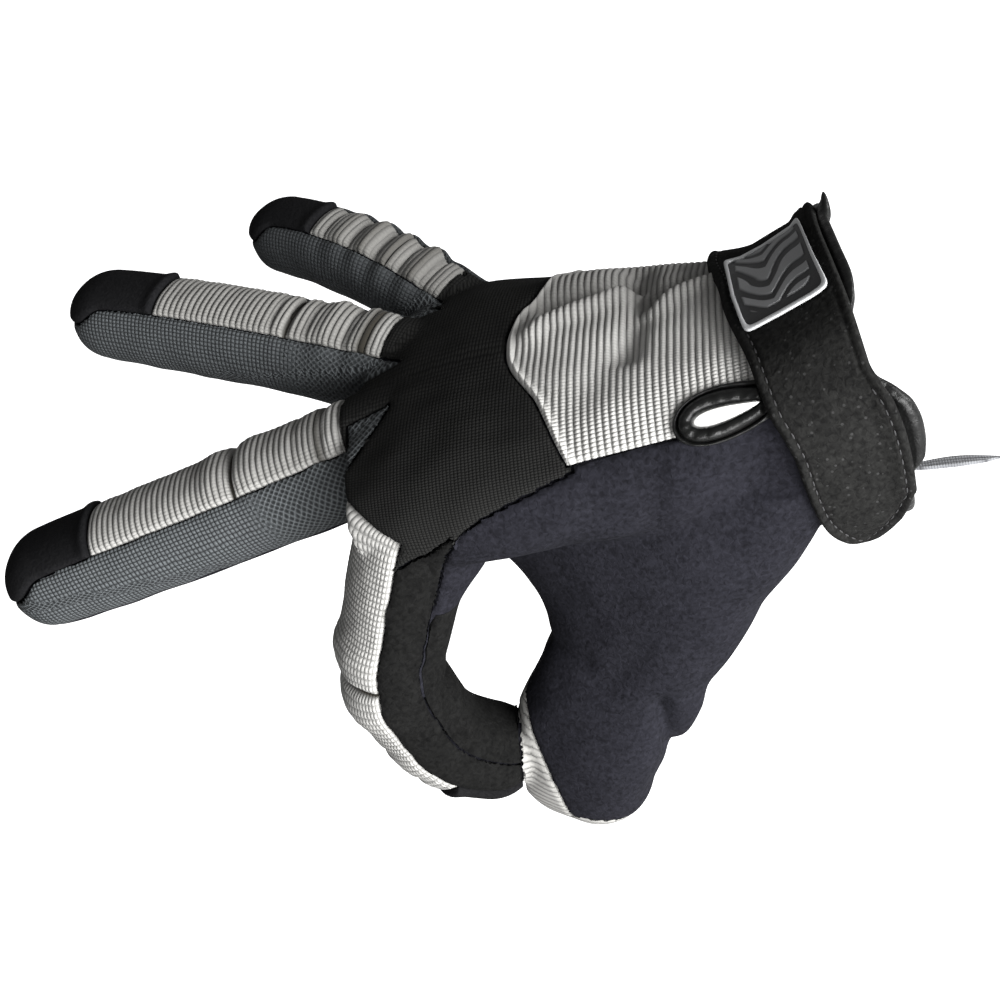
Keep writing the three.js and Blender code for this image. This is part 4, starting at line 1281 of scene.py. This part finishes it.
def makeBack():
    rows, hidden, early = back["rows"], back["hidden"], back["hiddenSteps"]
    turns = np.linspace(rows[0][0], rows[-1][0], back["marks"])
    line = skin(tubes["hand"], np.full(back["marks"], back["measuredAt"]), turns)
    long = np.concatenate([[0], np.cumsum(np.linalg.norm(np.diff(line, axis=0), axis=1))])
    zero = np.interp(0, turns, long)
    marks = {}

    def place(u, v, w):
        # v runs from the cuff to the knuckles, and its first steps are wide because the strap hides them
        share = np.where(v < early, v / early * hidden, hidden + (v - early) / (1 - early) * (1 - hidden))
        turn = rows[0][0] + (rows[-1][0] - rows[0][0]) * u
        low, high = spanAt(rows, turn)
        high = high - gap / 2
        at = low + (high - low) * share
        flat = np.interp(turn, turns, long) - zero
        toEnd, toSide = high - at, np.minimum(flat - flat.min(), flat.max() - flat)
        base = skin(tubes["hand"], at, turn, 0.0)
        ribs = np.clip((toEnd - back["ribsFrom"]) / back["fade"], 0.15, 1)
        inner = foldLift(base) + back["inner"]
        lift = foldLift(base) + back["waves"] * waviness(base, back["waveSize"], 8)
        lift = lift + ribLift(at, strip["ribPitch"], back["ribDeep"]) * ribs
        lift = lift + edgeFall(np.minimum(toEnd, toSide), back["edgeReach"], back["edgeDrop"])
        lift = lift + back["piping"] * np.exp(-((toEnd - back["pipingAt"]) / back["pipingReach"] * 2) ** 2)
        marks["edge"] = np.clip((back["wornUntil"] - toEnd) / back["fade"], 0, 1)
        points = skin(tubes["hand"], at, turn, np.where(w > 0.5, lift, inner))
        return points, np.stack([flat, at], axis=1)

    piece = slab("back_panel", back["columns"], back["steps"], place)
    side = readSheet(piece)[:, 0]
    writeShare(piece, "squares", 0.2 + 0.7 * np.clip((side - 5) / 25, 0, 1))
    writeShare(piece, "edge", marks["edge"])
    # Painted shade: the back panel darkens towards its far side, where less light falls, and a little
    # everywhere.
    writeShare(piece, "paintedShade", 0.06 + 0.38 * np.clip((2 - side) / 18, 0, 1))
    writeEven(piece, "plain", back["plain"])
    turnOutwards(piece)
    combine(piece, slitCutter(0.3), "DIFFERENCE")
    finishPiece(piece, ribbedKnit, "ribbed_knit", "back_panel")


makeBack()
clearAway(cutter(tubes["hand"], "turn", [(-100, -20, 63), *back["rows"][1:5], (60, -20, 62)], grow=gap / 2,
                 columns=40, steps=80))
print("glove: back panel made")

# Black knit over the knuckles
knuckles = [(61, -100, 64), (81, -90, 80), (97, -78, 97), (126, -74, 100)]


def foreSide():
    end = tubes["forefinger"]["length"]
    return [(14, 84, 91), (20, 89, 95), (25, 88, 98), (29, 81, 99), (31.5, 71, 100), (33.5, 62, 101),
            (glove["crease"], 62, 104), (79, 62, 108), (end - 12, 66, 108), (end - 4, 78, 114),
            (end + 1, 84, 114)]


sideTools = [onFingerSide(cutter(tubes["forefinger"], "at", foreSide(), grow=grow, steps=160))
             for grow in (0, gap)]
smoothSide = takeOut("forefinger_side", sideTools[:1], sideTools[1:])
finishPanel(smoothSide, sideCloth, "black_knit", None, ["forefinger"])
deepCut = {"inward": 9, "outward": 14, "columns": 40, "steps": 60}
foreRoot = [(16, 50, 90), (24, 50, 96), (36, 50, 100)]
foreBack = [(14, -60, 80), (27 - gap, -60, 80)]


def knuckleTools(grow):
    fore = tubes["forefinger"]
    return [cutter(tubes["hand"], "at", knuckles, grow=grow, **deepCut),
            cutter(fore, "at", foreRoot, grow=grow),
            cutter(fore, "at", foreBack, grow=grow / 2, outward=9)]


knucklePanel = takeOut("knuckle_panel", knuckleTools(0), knuckleTools(gap))
finishPanel(knucklePanel, knuckleKnit, "black_knit", "knuckle_panel", ["hand", *fingers])

# What is left is the palm and the thumb
cuff = {"low": 0.0, "high": 4.1, "grooves": 0.35, "grooveReach": 0.5, "puckers": 0.12, "puckerEvery": 2.6,
        "roll": 3.4, "rollHeight": 1.3, "peak": 3.3, "peakTurn": -21, "peakReach": 2.2, "peakAt": 0.3,
        "peakLong": 1.2, "middle": -0.85, "half": 1.6, "arcPerDegree": 0.55, "narrow": 4, "narrowFade": 2.5,
        "mouth": [(-180, 0), (-60, 0), (-30, -0.4), (-21, 0.6), (-13, -0.8), (0, -0.8), (15, -0.6),
                  (27, -1.5), (36, -3.2), (51, -3.2), (63, -2.3), (72, 1), (80, 3.6), (88, 4.4), (95, 3.6),
                  (102, 0.6), (115, -0.2), (180, 0)]}
clearAway(slitCutter(0.3), asCutter(tubeBody("cutter", tubes["hand"], -12, cuff["high"] + gap, 90, 24, 8)))
skinShell.name = "palm_panel"
finishPanel(skinShell, palmSuede, "palm_suede", "palm_panel", ["hand", "thumb"])
print("glove: palm and thumb made", len(skinShell.data.polygons))


# The seam allowances and the pale inside of the cloth lie under the panels and show through the slit.
def finishLining():
    tool = tubeBody("cutter", tubes["hand"], -12, cuff["high"] + 0.5, 60, 16, 8)
    combine(lining, tool, "DIFFERENCE")
    combine(lining, slitCutter(0.1), "DIFFERENCE")
    lining.data.materials[0], lining.data.materials[1] = palmSuede, paleLining
    handOver(lining, "palm_suede")


finishLining()


# A closed ring of rolled cloth: a torus whose points go where `place` says, from the angles round the ring
# and round its section.
def ringPiece(name, around, section, place):
    piece = addShape(name, bpy.ops.mesh.primitive_torus_add, major_segments=around, minor_segments=section,
                     major_radius=1, minor_radius=0.25)
    ring = readPoints(piece)
    major = np.arctan2(ring[:, 1], ring[:, 0])
    minor = np.arctan2(ring[:, 2], np.hypot(ring[:, 0], ring[:, 1]) - 1)
    writePoints(piece, place(major, minor) * 0.001)
    turnOutwards(piece)
    return piece


def superRound(angle, power):
    c, s = np.cos(angle), np.sin(angle)
    return np.sign(c) * np.abs(c) ** power, np.sign(s) * np.abs(s) ** power


def cuffShift(turn):
    return through([row[0] for row in cuff["mouth"]], [row[1] for row in cuff["mouth"]], turn)


def bump(distance, reach):
    return np.exp(-(distance / reach) ** 2)


# The cuff's binding: a roll at the mouth, a groove behind it and a torn peak over the back of the wrist.
def makeCuff():
    def place(major, minor):
        turn = np.degrees(major)
        c, s = superRound(minor, 0.75)
        low, high, roll = cuff["low"] - cuffShift(turn), cuff["high"], cuff["roll"]
        at = (low + high) / 2 - c * (high - low) / 2
        arc = turn * cuff["arcPerDegree"]
        rolled = np.sqrt(np.clip(1 - ((at - low - roll / 2) / (roll / 2)) ** 2, 0, 1)) * (s > 0)
        peak = bump(turn - cuff["peakTurn"], cuff["peakReach"]) * (0.5 + 0.5 * s)
        lift = cuff["middle"] + s * cuff["half"]
        wide = np.clip((high - low - cuff["narrow"]) / cuff["narrowFade"], 0, 1)
        lift = lift + cuff["rollHeight"] * rolled * wide
        lift = lift + cuff["peak"] * peak * bump(at - low - cuff["peakAt"], cuff["peakLong"])
        lift = lift - cuff["grooves"] * bump(at - low - roll, cuff["grooveReach"]) * (s > 0)
        lift = lift + cuff["puckers"] * np.sin(2 * math.pi * arc / cuff["puckerEvery"]) * np.clip(s, 0, 1)
        return skin(tubes["hand"], at, turn, lift)
    finishPiece(ringPiece("cuff_binding", 300, 28, place), bindingTape, "binding_tape", "cuff_binding")


# The slit's binding has a fat roll round the hole and a thin piping outside it, with a groove between them.
def makeSlitBinding():
    def place(major, minor):
        share = (1 - np.cos(minor)) / 2
        roll = slit["rollHeight"] * np.sqrt(np.clip(1 - ((share - 0.38) / 0.38) ** 2, 0, 1))
        piping = slit["pipingHeight"] * np.sqrt(np.clip(1 - ((share - 0.9) / 0.12) ** 2, 0, 1))
        crown = np.maximum(np.maximum(roll, piping), 0.25) - 0.6 * np.clip(1 - share / 0.12, 0, 1) ** 2
        at, _ = slitPlace(major, share)
        crown = np.minimum(crown, slit["lowUnderStrap"] + np.clip((at - slit["strapAt"]) / 1.6, 0, 1) * 3)
        crown = crown * (1 + 0.05 * np.sin(major * 7) + 0.04 * np.sin(major * 17))
        under = np.where(share > 0.97, 0.2, np.where(share < 0.28, -1.7, 0.15))
        return slitPoint(major, share, np.where(np.sin(minor) > 0, crown, under))
    finishPiece(ringPiece("slit_binding", 140, 64, place), bindingTape, "binding_tape", "slit_binding")


makeCuff()
makeSlitBinding()
print("glove: bindings made")

# Strap, badge and pull tab
strap = {"rows": [(-120, 5, 31), (-90, 4, 31.5), (-60, 2.4, 32), (-30, 2.4, 32), (0, 3.5, 28.5),
                  (30, 3.1, 24), (57, 3, 21.5), (66, 2, 20.5), (75, 0.5, 19), (90, -0.4, 17),
                  (108, 0.2, 15.4), (126, 0.6, 14), (141, 1, 12.8)],
         "tailPoint": 9.6, "endTurn": 139.5, "lowSide": {"from": 105, "power": 0.62},
         "highSide": {"from": 106, "power": 2.6}, "lift": 1.1, "thickness": 1.8, "edgeDrop": 0.8,
         "edgeReach": 0.9, "rim": 0.2, "stitchInset": 2.1, "stitchDrop": 0.3, "stitchEvery": 2.5,
         "tailFrom": 104, "tailLift": 1.6, "overCuff": 1.1, "settled": 1.9, "settledFrom": -6,
         "settledFade": 18, "arcPerDegree": 0.55}


# Both long sides run together into the tail's rounded point.
def strapWidth(turn):
    point, end = strap["tailPoint"], strap["endTurn"]

    def closed(side, line):
        beyond = np.clip((turn - side["from"]) / (end - side["from"]), 0, 1)
        return line + (point - line) * (1 - np.sqrt(1 - beyond ** side["power"]))

    low, high = spanAt(strap["rows"], turn)
    return closed(strap["lowSide"], low), closed(strap["highSide"], high)


# Over the back of the wrist the strap settles into the cloth beside it.
def strapSettled(at, turn):
    sides = np.clip((at - 10) / 12, 0, 1) + 0.6 * np.clip((9 - at) / 7, 0, 1)
    return strap["settled"] * np.clip((strap["settledFrom"] - turn) / strap["settledFade"], 0, 1) * sides


def strapLift(at, turn):
    ripple = 0.18 * np.sin(at / 3.1 + turn / 9) + 0.15 * np.sin(turn / 5.5 + 1)
    overCuff = strap["overCuff"] * np.clip((turn - 60) / 15, 0, 1) * np.clip((5 - at) / 3, 0, 1)
    tail = strap["tailLift"] * np.clip((turn - strap["tailFrom"]) / 30, 0, 1) ** 1.5
    return strap["lift"] - strapSettled(at, turn) + ripple + overCuff + tail


def makeStrap():
    start, end = strap["rows"][0][0], strap["endTurn"]

    def place(u, v, w):
        turn = start + (end - start - 0.1) * v
        low, high = strapWidth(turn)
        at = low + (high - low) * u
        edge = np.minimum(np.minimum(at - low, high - at), (end - turn) * 0.45)
        under = strapLift(at, turn)
        top = under + strap["thickness"] + edgeFall(edge, strap["edgeReach"], strap["edgeDrop"])
        top = top + strap["rim"] * bump(edge - 1.0, 0.7)
        top = top - strap["stitchDrop"] * bump(edge - strap["stitchInset"], 0.35)
        points = skin(tubes["hand"], at, turn, np.where(w > 0.5, top, under))
        return points, np.stack([at, turn * strap["arcPerDegree"]], axis=1)
    piece = slab("strap", 90, 300, place)
    turnOutwards(piece)
    finishPiece(piece, strapFelt, "strap_felt", "strap")


# A row of stitches: one little capsule, copied along a line of points with the way up at each.
def stitchRow(name, points, ups, every, long, wide, slot):
    steps = np.concatenate([[0], np.cumsum(np.linalg.norm(np.diff(points, axis=0), axis=1))])
    first = addShape(name, bpy.ops.mesh.primitive_uv_sphere_add, segments=8, ring_count=5, radius=0.5)
    shape = readPoints(first)
    stitches = [first]
    for k, distance in enumerate(np.arange(every / 2, steps[-1], every)):
        stitch = first if k == 0 else copyOf(first, name)
        centre, ahead, up = (np.array([np.interp(distance + more, steps, table[:, j]) for j in range(3)])
                             for more, table in ((0, points), (0.4, points), (0, ups)))
        forward, up = unit(ahead - centre), unit(up)
        side = unit(np.cross(up, forward))
        placed = (centre + forward * shape[:, 2:] * long + side * shape[:, :1] * wide
                  + np.cross(forward, side) * shape[:, 1:2] * wide)
        writePoints(stitch, placed * 0.001)
        if k:
            stitches.append(stitch)
    activate(first)
    for stitch in stitches:
        stitch.select_set(True)
    bpy.ops.object.join()
    turnOutwards(first)
    finishPiece(first, stitchThread, slot)


def strapStitches():
    inset, end = strap["stitchInset"], strap["endTurn"]
    down, up = np.linspace(-60, end, 400), np.linspace(end, 66, 200)
    low, high = strapWidth(down)
    share = np.clip((high - low - 2 * inset) / (high - low + 0.01), 0, 1)
    middle = (low + high) / 2
    backAt = np.interp(up, down, middle - (middle - low) * share)
    at = np.concatenate([middle + (high - middle) * share, backAt])
    turn = np.concatenate([down, up])
    keep = np.interp(turn, down, share) > 0.02
    at, turn = at[keep], turn[keep]
    lift = strapLift(at, turn) + strap["thickness"] - 0.2
    points, above = skin(tubes["hand"], at, turn, lift), skin(tubes["hand"], at, turn, lift + 1)
    stitchRow("strap_stitches", points, above - points, strap["stitchEvery"], 1.5, 0.4, "strap_felt")


def cuffStitches():
    turn = np.linspace(70, 101, 60)
    at = cuff["low"] - cuffShift(turn) + cuff["roll"] + 0.1
    points, above = (skin(tubes["hand"], at, turn, lift) for lift in (0.45, 1.45))
    stitchRow("cuff_stitches", points, above - points, 1.9, 1.1, 0.35, "binding_tape")


badge = {"rows": [(-16.5, 8.7, 27.6), (-10, 8.1, 27), (0, 7.4, 26), (15, 6.4, 24), (20, 6.1, 23.3)],
         "size": (19, 18), "plate": 0.7, "motifDeep": 0.35, "frameWide": 0.85, "frameHigh": 1.0,
         "lowerSide": 0.45, "bandEvery": 3.4, "bandWide": 2.1, "border": 7.8, "slope": 0.22, "steps": 130}
badge["under"] = strap["lift"] + strap["thickness"] + 0.35


def badgePlace(u, v, lift):
    at, turn = patchSpread(tubes["hand"], "turn", badge["rows"], u, v)
    return skin(tubes["hand"], at, turn, lift - strapSettled(at, turn))


# The raised pattern: bent bands, cut off by a rounded border. x and y are in mm from the middle.
def bands(x, y):
    along = y + 0.42 * np.abs(x - 1.5) - 0.9 * np.sin(x * 0.55)
    inBand = badge["bandWide"] / 2 - np.abs((along % badge["bandEvery"]) - badge["bandEvery"] / 2)
    border = badge["border"] - (np.abs(x) ** 5 + np.abs(y + 1.6) ** 5) ** 0.2
    return np.clip(np.minimum(inBand, border) / badge["slope"], 0, 1)


def makeBadge():
    marks, under, high = {}, badge["under"], badge["frameHigh"]

    def place(u, v, w):
        x, y = ((share - 0.5) * long for share, long in zip((u, v), badge["size"]))
        raised = bands(x, y)
        marks["motif"] = raised * (w > 0.5)
        top = under + badge["plate"] + badge["motifDeep"] * (raised - 1)
        return badgePlace(u, v, np.where(w > 0.5, top, under)), np.stack([x, y], axis=1)
    piece = slab("badge_plate", badge["steps"], badge["steps"], place)
    writeShare(piece, "motif", marks["motif"])
    turnOutwards(piece)
    finishPiece(piece, badgeRubber, "badge_rubber", "badge_plate", angle=35)

    def framePlace(major, minor):
        c, s = superRound(major, 0.14)
        m, n = superRound(minor, 0.7)
        wide = badge["frameWide"] / 20 * (1 + badge["lowerSide"] * np.clip(s, 0, 1) ** 4)
        reach = 0.5 + wide * (m - 0.2) / 2
        return badgePlace(0.5 + c * reach, 0.5 + s * reach, under + high / 2 + n * high / 2)
    finishPiece(ringPiece("badge_frame", 200, 20, framePlace), badgeEdge, "badge_edge", "badge_frame")


tab = {"long": 17, "thickness": 0.9, "drop": 0.15, "tilt": -6, "turn": 101, "arch": 0.5,
       "top": ([0, 8, 17], [0.6, 1.0, 0.35]), "bottom": ([0, 3, 8, 13, 17], [-0.6, -1.3, -1.6, -1.1, 0.1]),
       "slitDeep": 0.3, "slitAt": 0.55, "slitReach": 0.06}


# The tab is a folded leaf of webbing: two layers with a slit of shadow between them towards the tip.
def makeTab():
    root = skin(tubes["hand"], 0, tab["turn"], -0.4) + np.array([0.6, 0, 0])
    c, s = math.cos(math.radians(tab["tilt"])), math.sin(math.radians(tab["tilt"]))

    def place(u, v, w):
        x = tab["long"] * u
        top, bottom = through(*tab["top"], x), through(*tab["bottom"], x)
        y = bottom + (top - bottom) * v
        z = (w - 0.5) * tab["thickness"] * (1 - 0.5 * u ** 4) - tab["drop"] * x
        z = z + tab["arch"] * np.sin(u * math.pi)
        z = z - tab["slitDeep"] * bump(v - tab["slitAt"], tab["slitReach"]) * w * np.clip(u * 2 - 0.6, 0, 1)
        return root + np.stack([x * c - y * s, x * s + y * c, z], axis=1), np.stack([x, y], axis=1)
    piece = slab("pull_tab", 60, 40, place)
    turnOutwards(piece)
    finishPiece(piece, tabWebbing, "tab_webbing", "pull_tab")


makeStrap()
strapStitches()
cuffStitches()
makeBadge()
makeTab()
print("glove: strap, badge and tab made")
for material in (clothFace, cutFace):
    bpy.data.materials.remove(material)

# Floor and light
studio = {"floorHeight": -0.25, "floorColour": 0.5, "floorGlow": 1.2, "world": 0.3,
          "lights": {"lowLight": ((0.12, -0.62, -0.08), 0.5, 11), "rightLight": ((0.5, -0.5, 0.1), 0.5, 20),
                     "mouthLight": ((0.3, 0.05, 0.05), 0.12, 0.8)}}


def makeStudio():
    floor = addShape("paleFloor", bpy.ops.mesh.primitive_plane_add, size=6, location=(0, 0, 0))
    points = readPoints(floor)
    points[:, 2] = studio["floorHeight"]
    writePoints(floor, points)
    material, tree, shader = newMaterial("paleFloor", 0.9, specular=0.1)
    pale = studio["floorColour"]
    cloud = times(tree, noiseOf(tree, placeOf(tree), 3.0), 0.1)
    colour = blendColour(tree, cloud, (pale,) * 3, (pale * 0.97,) * 3)
    tree.links.new(colour, shader.inputs["Base Color"])
    seen = put(tree, "ShaderNodeLightPath").outputs["Is Camera Ray"]
    shader.inputs["Emission Color"].default_value = (1, 1, 1, 1)
    tree.links.new(times(tree, seen, studio["floorGlow"]), shader.inputs["Emission Strength"])
    floor.data.materials.append(material)
    for name, (place, size, power) in studio["lights"].items():
        bpy.ops.object.light_add(type="AREA", location=place)
        light = bpy.context.object
        light.name = name
        light.data.size = size
        light.data.energy = power
        light.rotation_euler = (-Vector(place)).to_track_quat("-Z", "Y").to_euler()
    scene = bpy.context.scene
    scene.view_settings.view_transform = "Standard"
    world = scene.world or bpy.data.worlds.new("paleWorld")
    scene.world = world
    world.use_nodes = True
    tree = world.node_tree
    background = tree.nodes["Background"]
    background.inputs[0].default_value = (1, 1, 1, 1)
    seen = times(tree, put(tree, "ShaderNodeLightPath").outputs["Is Camera Ray"], 1 - studio["world"])
    tree.links.new(plus(tree, seen, studio["world"]), background.inputs[1])


makeStudio()
print("glove: floor and light made")
